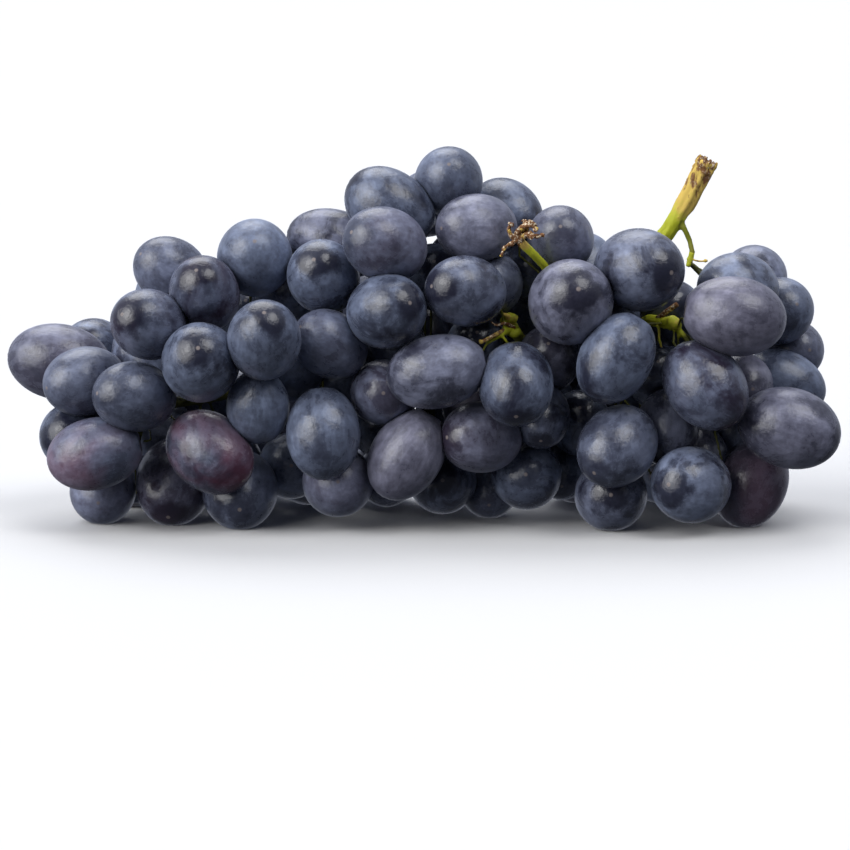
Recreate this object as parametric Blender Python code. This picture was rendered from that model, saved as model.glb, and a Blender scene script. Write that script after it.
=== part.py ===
"""A bunch of black grapes lying on its side, cut stem up on the right. Metres, +Z up."""

import heapq
import math
import random

import bmesh
import bpy
import numpy as np
from mathutils import Matrix, Vector

MM = 0.001

# The picture that the bunch was read from: how far its eye is, how high it looks from,
# and the point of the bunch that its middle shows
EYE_DISTANCE = 0.9
EYE_RISE = math.radians(8.0)
AIM = np.array((0.0, 0.0, 0.0231))
AIM_ACROSS = 0.4 * MM
AIM_UP = 26.5 * MM
RIGHTWARD = np.array((1.0, 0.0, 0.0))
FORWARD = np.array((0.0, math.cos(EYE_RISE), -math.sin(EYE_RISE)))
UPWARD = np.array((0.0, math.sin(EYE_RISE), math.cos(EYE_RISE)))
EYE = AIM - EYE_DISTANCE * FORWARD

# Berries
SLENDERNESS = 1.27          # length of a berry over its width
BERRY_SWELL = 1.015         # the faceted berry against the smooth one
FAR_COUNT = 34              # berries that only show from behind, above or below
FAR_WIDTHS = (17.5 * MM, 20.5 * MM)
SEED = 7

# Where the far berries start from: along the bunch, round and off its middle line, how far
# forward at most, and how much they lean
FAR_START = -92             # millimetres
FAR_STRETCH = 184
FAR_REACHES = (28, 46)
FAR_SIDES = (-35, 150)      # degrees above the way back
FAR_FRONT = 6 * MM
FAR_HEIGHT = 40 * MM
FAR_LEAN = 0.4

# Clearances and contacts between berries
SPRAY_GAP = 0.5 * MM        # between berries of unlike sprays
SQUEEZE = 1.0 * MM          # the most that berries of one spray press into each other
BOND = 1.5 * MM             # how deep the berries that hold a spray together are joined
STEM_GAP = 0.45 * MM        # between a berry and a stem
FLAT = 0.45 * MM            # how much a berry that bears the bunch is flattened
REST_REACH = 1.8 * MM       # a berry this near the surface rests on it

# How the berries settle: rounds, and how firmly each one is drawn or held
SETTLE_ROUNDS = 900
NAMING_ROUND = 150          # when the far berries are shared out among the sprays
BOND_ROUND = 450            # when the contacts that hold the sprays together are fixed
CALM_ROUND = 650            # when nothing is drawn or held any more
LOOK_ROUNDS = 25            # how often the neighbours of each berry are looked up again
REACH = 34 * MM             # berries further apart than this can't touch
EASE = 0.4                  # the share of each move that is made in a round
SIDE_GIVE = 0.08            # how easily a seen berry leaves its sight line, against moving along it
DRAW = 0.25 * MM            # how far a far berry drifts towards the heart line in a round
DOWN = 0.15 * MM            # and how far down
SIDE_HOLD = 0.25            # how firmly a seen berry stays on its sight line
DEPTH_HOLD = 0.06           # how firmly it keeps its depth

# Stems
PEDICEL_RADIUS = 0.55 * MM
TWIG_GROWTH = 0.36          # power by which a twig thickens with the berries it carries
MAIN_ROUNDING = 1           # bevel resolution of a main stem
TWIG_ROUNDING = 0           # and of a twig
CELL = 1.6 * MM             # spacing of the points that the twigs may pass through
NEAR_CELLS = 1.5            # a twig ends within this many of them off its berry
LEEWAY = 0.1 * MM           # how much nearer a straightened twig may pass
OUTER_REACH = 24 * MM       # twigs are kept nearer to the rachis than this where they can
TIGHT_PRICE = 3             # what a twig pays for a tight gap, against its length
END_PRICE = 40              # and for reaching a berry away from its stem end
GRID_LOW = np.array((-104, -52, 3)) * MM
GRID_HIGH = np.array((106, 52, 94)) * MM
KNOT = 1.5                  # radius of the swelling at a branch over the branch's own

# The berries that the picture shows, spray by spray: across, up, depth, length and width
# in the picture in millimetres, and the way that the flower end points there in degrees
SPRAYS = {
    "berries_tip": (
        (-94.5, 43, -8, 27, 19.5, 172), (-88, 38.2, -22, 21.5, 18, 190),
        (-75, 34, -38, 21.5, 18.3, 175), (-85.3, 19, -34, 25, 18.5, 192),
        (-82.3, 8.5, -20, 17.5, 17, 250), (-90.2, 23.5, -12, 19, 18, 180),
        (-85, 45.5, 8, 18, 17, 150)),
    "berries_tip_low": (
        (-66, 11.8, -20, 23, 20, 260), (-54.2, 21, -36, 24.5, 20, -40),
        (-47, 10.5, -18, 20.5, 19.5, 270), (-34, 16, -6, 17, 17, 270),
        (-42, 31.7, -24, 19, 16, 90)),
    "berries_left": (
        (-58.1, 41.7, -40, 20.8, 20.3, 100), (-74, 52, -32, 20, 18, 160),
        (-65.8, 66.5, -12, 20, 17, 150), (-55.6, 61.4, -28, 19.5, 18, 110),
        (-43.3, 70.5, -15, 20, 19.3, 90), (-40.2, 48.5, -36, 20.6, 18.8, 90)),
    "berries_crest": (
        (-23.5, 73, -2, 25, 17.5, 165), (-10, 74, -30, 22, 19, 160),
        (-9.5, 82.3, -12, 25, 19.5, 145), (7.3, 89.8, -6, 18, 17.2, 90),
        (-26, 65, -24, 19.5, 18.5, 120), (-9.8, 55.2, -36, 20.8, 19.3, 20),
        (-23, 46.3, -25, 20, 17, 150)),
    "berries_crown": (
        (13.6, 78.3, -24, 21, 17.8, 180), (21.5, 81.5, -6, 20, 17, -35),
        (35, 73.5, -17, 17.5, 17, 90), (10.8, 61.3, -30, 20.8, 17.8, 172),
        (17.5, 62.5, -13, 17, 17, 90)),
    "berries_middle": (
        (3, 40.5, -37, 26.5, 18.8, 192), (24.5, 37, -42, 22, 19.4, 270),
        (16.3, 21.5, -30, 21.5, 18.5, 180), (-8, 18.3, -32, 25, 18.5, 240),
        (-13, 37, -14, 17, 17, 90), (33.5, 29.5, -24, 17, 15, 270)),
    "berries_low": (
        (-27.3, 25, -34, 24, 19, 272), (-22.7, 11.5, -18, 18, 18, 270),
        (-11, 13, -14, 16, 15, 270), (6.8, 12, -17, 17.5, 17.5, 270),
        (26.5, 14, -14, 18, 18, 280), (17, 12, 0, 16, 15, 270),
        (35.5, 15, 0, 16, 15, 270)),
    "berries_right": (
        (37, 58, -32, 22.3, 21.8, 60), (57, 67.3, -26, 23.5, 21.3, -5),
        (51.5, 68, -6, 17, 17, 90), (50.5, 43.5, -42, 25, 18.8, 240)),
    "berries_right_low": (
        (51, 21.5, -33, 22.5, 19.5, 230), (48.7, 10.5, -16, 18.5, 18.5, 270),
        (69.5, 11.2, -30, 20.8, 19.5, 180), (86.5, 11.2, -19, 23.5, 18.7, 245),
        (63.5, 25, -19, 20, 16, 270), (70, 20, -14, 17, 16, 270)),
    "berries_shoulder": (
        (95, 25.7, -30, 27, 20.5, -15), (73, 36.3, -35, 25, 20, -50),
        (81, 55.3, -37, 26.8, 20.5, -8), (82, 61.5, -18, 21.5, 19, 170),
        (86, 64.5, 0, 17, 17, 60), (92, 56.5, -2, 18, 17, 20),
        (95.5, 46, 8, 17, 16, 0), (94, 37.5, -12, 22, 16, -25),
        (82.5, 37, -18, 17, 16.5, -20)),
}

# The sprays behind, by where they end along the rachis
FAR_SPRAYS = (("berries_far_tip", -52 * MM), ("berries_far_left", -14 * MM),
              ("berries_far_middle", 24 * MM), ("berries_far_right", 58 * MM),
              ("berries_far_shoulder", 200 * MM))

# Berries just behind those, that show as dark skin in the gaps: across, up and depth
INNER = {
    "berries_tip_low": ((-69, 25, -12), (-55, 34, -2)),
    "berries_left": ((-46, 55, 0), (-35, 62, -6)),
    "berries_crest": ((1, 84, 6), (-21, 38, -6), (-32.5, 39.5, -14)),
    "berries_low": ((-12, 28, -6), (41, 27.5, -10)),
    "berries_crown": ((28, 66.5, -6), (2.5, 65, -8), (27, 57, 2)),
    "berries_middle": ((14, 47, -12), (32, 45, -10), (-9, 46, -12), (13, 32, -12)),
    "berries_right": ((66, 53.5, -6), (47, 54, -10)),
    "berries_right_low": ((61, 39, -14), (79, 24, -8)),
}
INNER_SIZE = (17, 16.3, 90)  # length, width and turn

# Stems laid by hand: across, up and depth of each point and the radius there, in millimetres
PEDUNCLE = ((73.8, 95.0, 2, 3.1), (71.5, 90.5, 2, 3.0), (69.0, 85.5, 2, 2.7),
            (66.0, 80.5, 2, 2.4), (62.5, 75.5, 3, 2.4), (58.0, 66.0, 6, 2.7),
            (50.0, 57.0, 6, 2.9), (38.0, 51.5, 5, 2.9))
RACHIS = ((38.0, 51.5, 5, 2.9), (30.0, 46.5, 5, 2.8), (20.0, 42.0, 4, 2.7),
          (4.0, 41.0, 3, 2.5), (-8.0, 42.0, 2, 2.4), (-32.0, 39.0, 0, 2.1),
          (-55.0, 34.0, -3, 1.8), (-72.0, 31.0, -8, 1.4))
SIDE_STEMS = {
    "stub": ((36.0, 50.3, 5, 1.6), (34.5, 57.0, -8, 1.4), (33.5, 64.5, -21, 1.2),
             (31.2, 68.2, -27, 1.2), (28.2, 71.3, -31, 1.2), (25.0, 74.3, -33, 1.3)),
    "middle_twig": ((28.0, 45.5, 5, 1.7), (25.5, 48.3, -10, 1.6), (23.0, 52.0, -21, 1.9),
                    (20.5, 50.3, -26, 0.9), (16.4, 48.0, -30, 0.8)),
    "right_twig": ((46.0, 55.2, 6, 1.7), (53.5, 51.0, -6, 1.6), (58.8, 53.8, -16, 1.7),
                   (63.8, 53.0, -20, 1.7), (66.5, 51.8, -22, 1.5)),
    "peduncle_twig": ((66.0, 80.5, 2, 1.0), (67.7, 77.8, 1, 0.9), (69.2, 74.5, 1, 0.8),
                      (69.9, 71.5, 0, 0.8), (68.9, 68.3, 0, 0.7)),
}
# The middle line of the bunch, round which the far berries and the twigs gather
HEART = ((-84, 30, -8), (-55, 34, -3), (-8, 43, 2), (38, 48, 5), (62, 44, 5), (88, 38, 0))

# The gap near the top that shows what is behind the bunch
PEEP_HOLE = (2.5, 75.0)     # across and up
PEEP_RADIUS = 1.6 * MM

# The top of the bunch in the picture, which no berry behind may pass
SKYLINE_ACROSS = np.array((-110, -95, -82, -68, -45, -22, -5, 8, 24, 42, 60, 80, 95, 108)) * MM
SKYLINE_UP = np.array((38, 50, 58, 72, 76, 79, 90, 94, 86, 78, 76, 70, 63, 30)) * MM
# How far the berries behind reach to either side: less near the surface
FAR_END_HEIGHTS = (10 * MM, 28 * MM)
FAR_ENDS = (88 * MM, 101 * MM)

# The slab that cuts the resting berries flat: across, deep and thick
SLAB = (0.4, 0.3, 0.02)
SHARP_ANGLE = math.radians(60)

MATERIALS = {
    "grape_skin": ((0.030, 0.034, 0.060, 1.0), 0.38),
    "stem_green": ((0.36, 0.36, 0.08, 1.0), 0.6),
}


def on_sight_line(across, up, depth):
    """The point that the picture shows at (across, up) and that lies at depth, along +Y."""
    ray = FORWARD * EYE_DISTANCE + RIGHTWARD * (across - AIM_ACROSS) + UPWARD * (up - AIM_UP)
    scale = (depth - EYE[1]) / ray[1]
    return EYE + ray * scale, scale


def unit(vector):
    return vector / np.linalg.norm(vector)


def line_points(rows):
    """World points from their places across, up and deep in the picture."""
    return np.array([on_sight_line(*(np.array(row[:3]) * MM))[0] for row in rows])


def stem_points(rows):
    """A stem laid by hand, as world points and radii."""
    return line_points(rows), np.array([row[3] * MM for row in rows])


def seen_berries():
    """The berries that the picture shows, each on its sight line."""
    berries = []
    for spray, rows in SPRAYS.items():
        inner = tuple(row + INNER_SIZE for row in INNER.get(spray, ()))
        for across, up, depth, length, width, turn in rows + inner:
            centre, scale = on_sight_line(across * MM, up * MM, depth * MM)
            sight = unit(centre - EYE)
            wide = width * MM * scale
            seen_long = length * MM * scale
            true_long = max(seen_long, SLENDERNESS * wide)
            share = (seen_long ** 2 - wide ** 2) / (true_long ** 2 - wide ** 2)
            turn = math.radians(turn)
            flat = RIGHTWARD * math.cos(turn) + UPWARD * math.sin(turn)
            axis = unit(flat * math.sqrt(share) - sight * math.sqrt(1 - share))
            berries.append({"spray": spray, "centre": centre, "axis": axis, "sight": sight,
                            "half_long": true_long / 2, "half_wide": wide / 2, "far": False})
    return berries


def far_berries(heart):
    """Berries behind the heart line, scattered at first, that settle towards it afterwards."""
    draw = random.Random(SEED)
    berries = []
    for index in range(FAR_COUNT):
        along = FAR_START + FAR_STRETCH * (index + draw.uniform(0.1, 0.9)) / FAR_COUNT
        side = math.radians(draw.uniform(*FAR_SIDES))
        across = along * MM
        root = nearest_on(heart, np.array((across, 0.0, FAR_HEIGHT)))[0]
        reach = draw.uniform(*FAR_REACHES) * MM
        centre = root + reach * np.array((0.0, math.sin(side), math.cos(side)))
        centre[0] = across
        centre[1] = max(centre[1], FAR_FRONT)
        wide = draw.uniform(*FAR_WIDTHS)
        lean = np.array([draw.uniform(-FAR_LEAN, FAR_LEAN) for _ in range(3)])
        axis = unit(unit(centre - root) + lean)
        berries.append({"spray": None, "centre": centre, "axis": axis, "sight": FORWARD,
                        "half_long": wide * SLENDERNESS / 2, "half_wide": wide / 2,
                        "far": True})
    return berries


def nearest_on(line, point):
    """The nearest point of a polyline, and the stretch and share along it."""
    starts = line[:-1]
    spans = line[1:] - starts
    shares = np.clip(((point - starts) * spans).sum(1) / (spans * spans).sum(1), 0, 1)
    feet = starts + spans * shares[:, None]
    stretch = int(np.argmin(((feet - point) ** 2).sum(1)))
    return feet[stretch], stretch, shares[stretch]


def shape_matrix(berry):
    """The squares of a berry's half-sizes as a matrix."""
    wide = berry["half_wide"] ** 2
    return wide * np.eye(3) + (berry["half_long"] ** 2 - wide) * np.outer(berry["axis"],
                                                                        berry["axis"])


def pair_gaps(centres, shapes, first, second):
    """Directions from first to second berries and the gaps between them."""
    apart = centres[second] - centres[first]
    facing = np.linalg.solve(shapes[first] + shapes[second], apart[..., None])[..., 0]
    facing /= np.linalg.norm(facing, axis=1, keepdims=True)
    near_reach = np.sqrt(np.einsum("ni,nij,nj->n", facing, shapes[first], facing))
    far_reach = np.sqrt(np.einsum("ni,nij,nj->n", facing, shapes[second], facing))
    return facing, (apart * facing).sum(1) - near_reach - far_reach


def bonds_of(sprays, first, second, gaps):
    """The shortest tree of contacts that holds each spray together, as pairs of berries."""
    group = list(range(len(sprays)))
    bonds = []
    for place in np.argsort(gaps):
        one, other = int(first[place]), int(second[place])
        if sprays[one] != sprays[other] or group[one] == group[other]:
            continue
        old = group[other]
        group = [group[one] if name == old else name for name in group]
        bonds.append((one, other))
    return bonds


def stem_stretches(stems):
    """Every straight stretch of the stems: start, span, radius at the start and its growth."""
    starts = np.concatenate([line[:-1] for line, _ in stems])
    spans = np.concatenate([line[1:] - line[:-1] for line, _ in stems])
    radii = np.concatenate([wide[:-1] for _, wide in stems])
    growth = np.concatenate([wide[1:] - wide[:-1] for _, wide in stems])
    return starts, spans, radii, growth


def nearest_feet(starts, spans, centres):
    """For each berry and stretch, the share along the stretch and the way to the berry."""
    shares = np.einsum("nmi,mi->nm", centres[:, None] - starts, spans) / (spans ** 2).sum(1)
    shares = np.clip(shares, 0, 1)
    return shares, centres[:, None] - starts - spans * shares[..., None]


def off_stems(centres, shapes, mobility, stretches):
    """How each berry moves to keep clear of the stems laid by hand."""
    starts, spans, radii, growth = stretches
    shares, apart = nearest_feet(starts, spans, centres)
    distance = np.linalg.norm(apart, axis=2)
    away = apart / distance[..., None]
    reach = np.sqrt(np.einsum("nmi,nij,nmj->nm", away, shapes, away))
    lack = np.clip(STEM_GAP + radii + growth * shares + reach - distance, 0, None)
    push = np.einsum("nij,nmj->nmi", mobility, away)
    return (push * (lack / (push * away).sum(2))[..., None]).sum(1)


def drawn_in(centres, far, heart):
    """How the far berries drift: towards the heart line of the bunch, and down."""
    moves = np.zeros_like(centres)
    _, apart = nearest_feet(heart[:-1], heart[1:] - heart[:-1], centres[far])
    nearest = np.argmin(np.linalg.norm(apart, axis=2), axis=1)
    way = apart[np.arange(len(apart)), nearest]
    moves[far] = -DRAW * way / np.linalg.norm(way, axis=1, keepdims=True)
    moves[far, 2] = -DOWN
    return moves


def under_skyline(centres, shapes, far):
    """How the far berries move so that the picture doesn't show them past its outline."""
    moves = np.zeros_like(centres)
    ray = centres[far] - EYE
    scale = EYE_DISTANCE / (ray @ FORWARD)
    across = AIM_ACROSS + ray @ RIGHTWARD * scale
    up = AIM_UP + ray @ UPWARD * scale
    over = up + np.sqrt(shapes[far, 2, 2]) - np.interp(across, SKYLINE_ACROSS, SKYLINE_UP)
    moves[far, 2] = -np.clip(over, 0, None)
    ends = centres[far, 0] + np.sign(centres[far, 0]) * np.sqrt(shapes[far, 0, 0])
    limits = np.interp(centres[far, 2], FAR_END_HEIGHTS, FAR_ENDS)
    moves[far, 0] -= np.sign(ends) * np.clip(abs(ends) - limits, 0, None)
    hole = (across - PEEP_HOLE[0] * MM, up - PEEP_HOLE[1] * MM)
    off = np.hypot(*hole)
    lack = np.clip(PEEP_RADIUS + np.sqrt(shapes[far, 0, 0]) - off, 0, None)
    moves[far, 0] += lack * hole[0] / off
    moves[far, 2] += lack * hole[1] / off
    return moves


def settle(berries, stems):
    """Presses the berries apart, off the stems and onto the surface, until none overlap."""
    centres = np.array([berry["centre"] for berry in berries])
    anchors = centres.copy()
    shapes = np.array([shape_matrix(berry) for berry in berries])
    drops = np.sqrt(shapes[:, 2, 2])
    far = np.array([berry["far"] for berry in berries])
    sights = np.array([berry["sight"] for berry in berries])
    along_sight = np.einsum("ni,nj->nij", sights, sights)
    mobility = np.where(far[:, None, None], np.eye(3),
                        SIDE_GIVE * np.eye(3) + (1 - SIDE_GIVE) * along_sight)
    hold = np.where(far[:, None, None], 0.0, SIDE_HOLD * (np.eye(3) - along_sight)
                    + DEPTH_HOLD * along_sight)
    stretches = stem_stretches(stems)
    heart = line_points(HEART)
    every = np.triu_indices(len(berries), 1)
    sprays = [berry["spray"] for berry in berries]
    bonds = []
    for step in range(SETTLE_ROUNDS):
        if step == NAMING_ROUND:
            name_far_sprays(berries, centres)
            sprays = [berry["spray"] for berry in berries]
        if step % LOOK_ROUNDS == 0:
            close = np.linalg.norm(centres[every[0]] - centres[every[1]], axis=1) < REACH
            first, second = every[0][close], every[1][close]
            same = np.array([sprays[a] == sprays[b] and sprays[a] is not None
                             for a, b in zip(first, second)])
            if NAMING_ROUND <= step <= BOND_ROUND:
                held = set(bonds_of(sprays, first, second,
                                    pair_gaps(centres, shapes, first, second)[1]))
            if step >= NAMING_ROUND:
                bonds = [place for place, pair in enumerate(zip(first, second))
                         if pair in held]
        facing, gaps = pair_gaps(centres, shapes, first, second)
        lack = np.clip(np.where(same, -SQUEEZE, SPRAY_GAP) - gaps, 0, None)
        lack[bonds] = -BOND - gaps[bonds]
        push_first = np.einsum("nij,nj->ni", mobility[first], facing)
        push_second = np.einsum("nij,nj->ni", mobility[second], facing)
        share = lack / ((push_first + push_second) * facing).sum(1)
        moves = off_stems(centres, shapes, mobility, stretches)
        np.add.at(moves, first, -push_first * share[:, None])
        np.add.at(moves, second, push_second * share[:, None])
        moves += under_skyline(centres, shapes, far)
        if step < CALM_ROUND:
            moves += np.einsum("nij,nj->ni", hold, anchors - centres)
            moves += drawn_in(centres, far, heart)
        centres += EASE * moves
        low = centres[:, 2] - drops
        resting = (low < REST_REACH) & (step > BOND_ROUND)
        centres[:, 2] = np.where(resting | (low < -FLAT), drops - FLAT, centres[:, 2])
    for berry, centre in zip(berries, np.round(centres, 5)):
        berry["centre"] = centre
    return berries


def name_far_sprays(berries, centres):
    for berry, centre in zip(berries, centres):
        if berry["far"]:
            berry["spray"] = next(name for name, end in FAR_SPRAYS if centre[0] < end)


def lay_out():
    """All berries at their places, and the stems laid by hand as (points, radii)."""
    stems = [stem_points(PEDUNCLE), stem_points(RACHIS)]
    stems += [stem_points(rows) for rows in SIDE_STEMS.values()]
    berries = seen_berries() + far_berries(line_points(HEART))
    return settle(berries, stems), stems


def to_middle(berries):
    """The way that brings the middle of the bunch over the origin."""
    centres = np.array([berry["centre"] for berry in berries])
    reach = np.sqrt(np.array([np.diag(shape_matrix(berry)) for berry in berries]))
    middle = ((centres - reach).min(0) + (centres + reach).max(0)) / 2
    return (-round(middle[0], 4), -round(middle[1], 4), 0.0)


def room_at(points, berries):
    """How far each point is from the nearest berry's skin."""
    room = np.full(len(points), 1.0)
    for berry in berries:
        apart = points - berry["centre"]
        along = apart @ berry["axis"]
        square = (apart * apart).sum(1)
        far_out = np.sqrt((square - along ** 2) / berry["half_wide"] ** 2
                          + along ** 2 / berry["half_long"] ** 2)
        room = np.minimum(room, np.sqrt(square) * (1 - 1 / np.maximum(far_out, 1e-6)))
    return room


def grow_twigs(berries, stems):
    """Twigs that run through the gaps between berries, from the stems to every berry."""
    counts = np.ceil((GRID_HIGH - GRID_LOW) / CELL).astype(int)
    grid = np.stack(np.meshgrid(*[np.arange(count) for count in counts], indexing="ij"), -1)
    points = GRID_LOW + grid.reshape(-1, 3) * CELL
    room = room_at(points, berries)
    need = PEDICEL_RADIUS + STEM_GAP
    heart = line_points(HEART)
    _, apart = nearest_feet(heart[:-1], heart[1:] - heart[:-1], points)
    off_heart = np.linalg.norm(apart, axis=2).min(1)
    price = 1 + TIGHT_PRICE * (need / np.maximum(room, need)) ** 2
    price += (off_heart / OUTER_REACH) ** 4
    price[room < need] = np.inf
    rows, layers = int(counts[1] * counts[2]), int(counts[2])
    steps = []
    for dx in (-1, 0, 1):
        for dy in (-1, 0, 1):
            for dz in (-1, 0, 1):
                if dx or dy or dz:
                    steps.append((dx * rows + dy * layers + dz,
                                  math.sqrt(dx * dx + dy * dy + dz * dz)))
    edge = np.zeros(counts, bool)
    edge[[0, -1]] = True
    edge[:, [0, -1]] = True
    edge[:, :, [0, -1]] = True
    price[edge.reshape(-1)] = np.inf
    price = price.tolist()

    cost = {}
    parent = {}
    queue = []
    for line, radii in stems[1:]:
        for start, end in zip(line[:-1], line[1:]):
            for share in np.linspace(0, 1, 12):
                place = start + (end - start) * share
                cell = np.round((place - GRID_LOW) / CELL).astype(int)
                place = int(cell @ np.array((rows, layers, 1)))
                if price[place] < np.inf and place not in cost:
                    cost[place] = 0.0
                    parent[place] = None
                    queue.append((0.0, place))
    heapq.heapify(queue)
    while queue:
        so_far, place = heapq.heappop(queue)
        if so_far > cost[place]:
            continue
        for shift, length in steps:
            there = place + shift
            total = so_far + length * price[there]
            if total < cost.get(there, np.inf):
                cost[there] = total
                parent[there] = place
                heapq.heappush(queue, (total, there))

    reached = np.array(sorted(cost))
    spots = points[reached]
    costs = np.array([cost[place] for place in reached])
    ends = {}
    for index, berry in enumerate(berries):
        apart = spots - berry["centre"]
        own_room = room_at(spots, [berry])
        off_end = np.linalg.norm(apart / np.linalg.norm(apart, axis=1)[:, None]
                                 + berry["axis"], axis=1)
        near = own_room < need + NEAR_CELLS * CELL
        score = np.where(near, costs + END_PRICE * off_end, np.inf)
        best = int(np.argmin(score))
        if score[best] < np.inf:
            ends[index] = int(reached[best])
    return ends, parent, points


def clear_line(start, end, berries):
    shares = np.linspace(0, 1, 9)[:, None]
    need = PEDICEL_RADIUS + STEM_GAP - LEEWAY
    return room_at(start + (end - start) * shares, berries).min() >= need


def straighten(line, berries):
    """The places in a line that are left when straight stretches do without the rest."""
    kept = [0]
    while kept[-1] < len(line) - 1:
        ahead = len(line) - 1
        while ahead > kept[-1] + 1 and not clear_line(line[kept[-1]], line[ahead], berries):
            ahead -= 1
        kept.append(ahead)
    return kept


def pedicel_tip(place, berry):
    """Where a pedicel ends, just off the berry that it carries."""
    gap = room_at(place[None], [berry])[0] - STEM_GAP + LEEWAY
    return place - unit(place - berry["centre"]) * gap


def twig_lines(berries, stems):
    """A twig for each berry, from the stem or twig it grows from: points and radii."""
    ends, parent, points = grow_twigs(berries, stems)
    load = {}
    for place in ends.values():
        while place is not None:
            load[place] = load.get(place, 0) + 1
            place = parent[place]
    drawn = [line for line, _ in stems]
    seat = {}
    twigs = []
    for index in sorted(ends, key=lambda one: (-load_length(ends[one], parent), one)):
        chain = [ends[index]]
        while chain[-1] not in seat and parent[chain[-1]] is not None:
            chain.append(parent[chain[-1]])
        chain.reverse()
        bearer = seat.get(chain[0])
        options = drawn[:len(stems)] if bearer is None else [drawn[bearer]]
        feet = [nearest_on(line, points[chain[0]])[0] for line in options]
        root = min(feet, key=lambda foot: np.linalg.norm(foot - points[chain[0]]))
        line = [root] + [points[place] for place in chain]
        line.append(pedicel_tip(line[-1], berries[index]))
        loads = [load[chain[0]]] + [load[place] for place in chain] + [1]
        if bearer is not None:
            loads[0] = loads[1] = 1 if len(loads) < 4 else loads[2]
        kept = straighten(line, berries)
        for place in chain:
            seat.setdefault(place, len(drawn))
        line = np.array([line[spot] for spot in kept])
        room = room_at(line, berries) - STEM_GAP
        wide = PEDICEL_RADIUS * np.array([loads[spot] for spot in kept]) ** TWIG_GROWTH
        wide = np.minimum(wide, np.maximum(room, PEDICEL_RADIUS))
        drawn.append(line)
        twigs.append((line, wide))
    return twigs


def load_length(place, parent):
    """How many steps a place is from the stem."""
    count = 0
    while parent[place] is not None:
        place = parent[place]
        count += 1
    return count


def make_material(name):
    colour, roughness = MATERIALS[name]
    material = bpy.data.materials.new(name)
    material.use_nodes = True
    shader = material.node_tree.nodes["Principled BSDF"]
    shader.inputs["Base Color"].default_value = colour
    shader.inputs["Roughness"].default_value = roughness
    material.diffuse_color = colour
    return material


def add_object(name, mesh, collection):
    item = bpy.data.objects.new(name, mesh)
    collection.objects.link(item)
    return item


def berry_mesh(berry):
    """A faceted berry whose top point is its flower end."""
    shape = bmesh.new()
    bmesh.ops.create_icosphere(shape, subdivisions=2, radius=1.0)
    turn = Vector((0, 0, 1)).rotation_difference(Vector(berry["axis"])).to_matrix().to_4x4()
    size = Matrix.Diagonal((berry["half_wide"] * BERRY_SWELL, berry["half_wide"] * BERRY_SWELL,
                            berry["half_long"] * BERRY_SWELL, 1.0))
    bmesh.ops.transform(shape, verts=shape.verts,
                        matrix=Matrix.Translation(berry["centre"]) @ turn @ size)
    mesh = bpy.data.meshes.new("berry")
    shape.to_mesh(mesh)
    shape.free()
    return mesh


def stem_curve(points, radii, rounding):
    """A round stem along its points, as a curve closed at both ends."""
    curve = bpy.data.curves.new("stem", "CURVE")
    curve.dimensions = "3D"
    curve.bevel_depth = 1.0
    curve.bevel_resolution = rounding
    curve.use_fill_caps = True
    spline = curve.splines.new("POLY")
    spline.points.add(len(points) - 1)
    for spot, place, radius in zip(spline.points, points, radii):
        spot.co = (*place, 1.0)
        spot.radius = radius
    return add_object("stem_curve", curve, bpy.context.scene.collection)


def stem_meshes(holders):
    """The stem curves as closed meshes; the curves are removed."""
    bpy.context.view_layer.update()
    graph = bpy.context.evaluated_depsgraph_get()
    meshes = []
    for holder in holders:
        mesh = bpy.data.meshes.new_from_object(holder.evaluated_get(graph))
        shape = bmesh.new()
        shape.from_mesh(mesh)
        bmesh.ops.remove_doubles(shape, verts=shape.verts, dist=0.01 * MM)
        bmesh.ops.recalc_face_normals(shape, faces=shape.faces)
        shape.to_mesh(mesh)
        shape.free()
        meshes.append(mesh)
    for holder in holders:
        bpy.data.objects.remove(holder)
    return meshes


def knot_mesh(place, radius):
    """The swelling where a stem branches."""
    shape = bmesh.new()
    bmesh.ops.create_icosphere(shape, subdivisions=1, radius=radius,
                               matrix=Matrix.Translation(place))
    mesh = bpy.data.meshes.new("knot")
    shape.to_mesh(mesh)
    shape.free()
    return mesh


def fuse(name, meshes, collection, solver):
    """One body from many: the first mesh joined with the rest by one Boolean union."""
    extras = bpy.data.collections.new(name + "_pieces")
    bpy.context.scene.collection.children.link(extras)
    body = add_object(name, meshes[0], collection)
    for mesh in meshes[1:]:
        add_object(name + "_piece", mesh, extras)
    union = body.modifiers.new("union", "BOOLEAN")
    union.operation = "UNION"
    union.operand_type = "COLLECTION"
    union.collection = extras
    union.solver = solver
    bpy.context.view_layer.update()
    joined = bpy.data.meshes.new_from_object(
        body.evaluated_get(bpy.context.evaluated_depsgraph_get()))
    body.modifiers.clear()
    body.data = joined
    for piece in list(extras.objects):
        bpy.data.objects.remove(piece)
    bpy.data.collections.remove(extras)
    keep_outer_skin(joined)
    joined.name = name
    return body


def keep_outer_skin(mesh):
    """Keeps the largest closed skin: fills hollows that the joining sealed, drops scraps."""
    shape = bmesh.new()
    shape.from_mesh(mesh)
    waiting = set(shape.faces)
    skins = []
    while waiting:
        skin = {waiting.pop()}
        edge_on = list(skin)
        while edge_on:
            for edge in edge_on.pop().edges:
                for face in edge.link_faces:
                    if len(edge.link_faces) == 2 and face in waiting:
                        waiting.discard(face)
                        skin.add(face)
                        edge_on.append(face)
        skins.append(skin)
    skins.sort(key=len)
    extra = [face for skin in skins[:-1] for face in skin]
    bmesh.ops.delete(shape, geom=extra, context="FACES")
    shape.to_mesh(mesh)
    shape.free()


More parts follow.
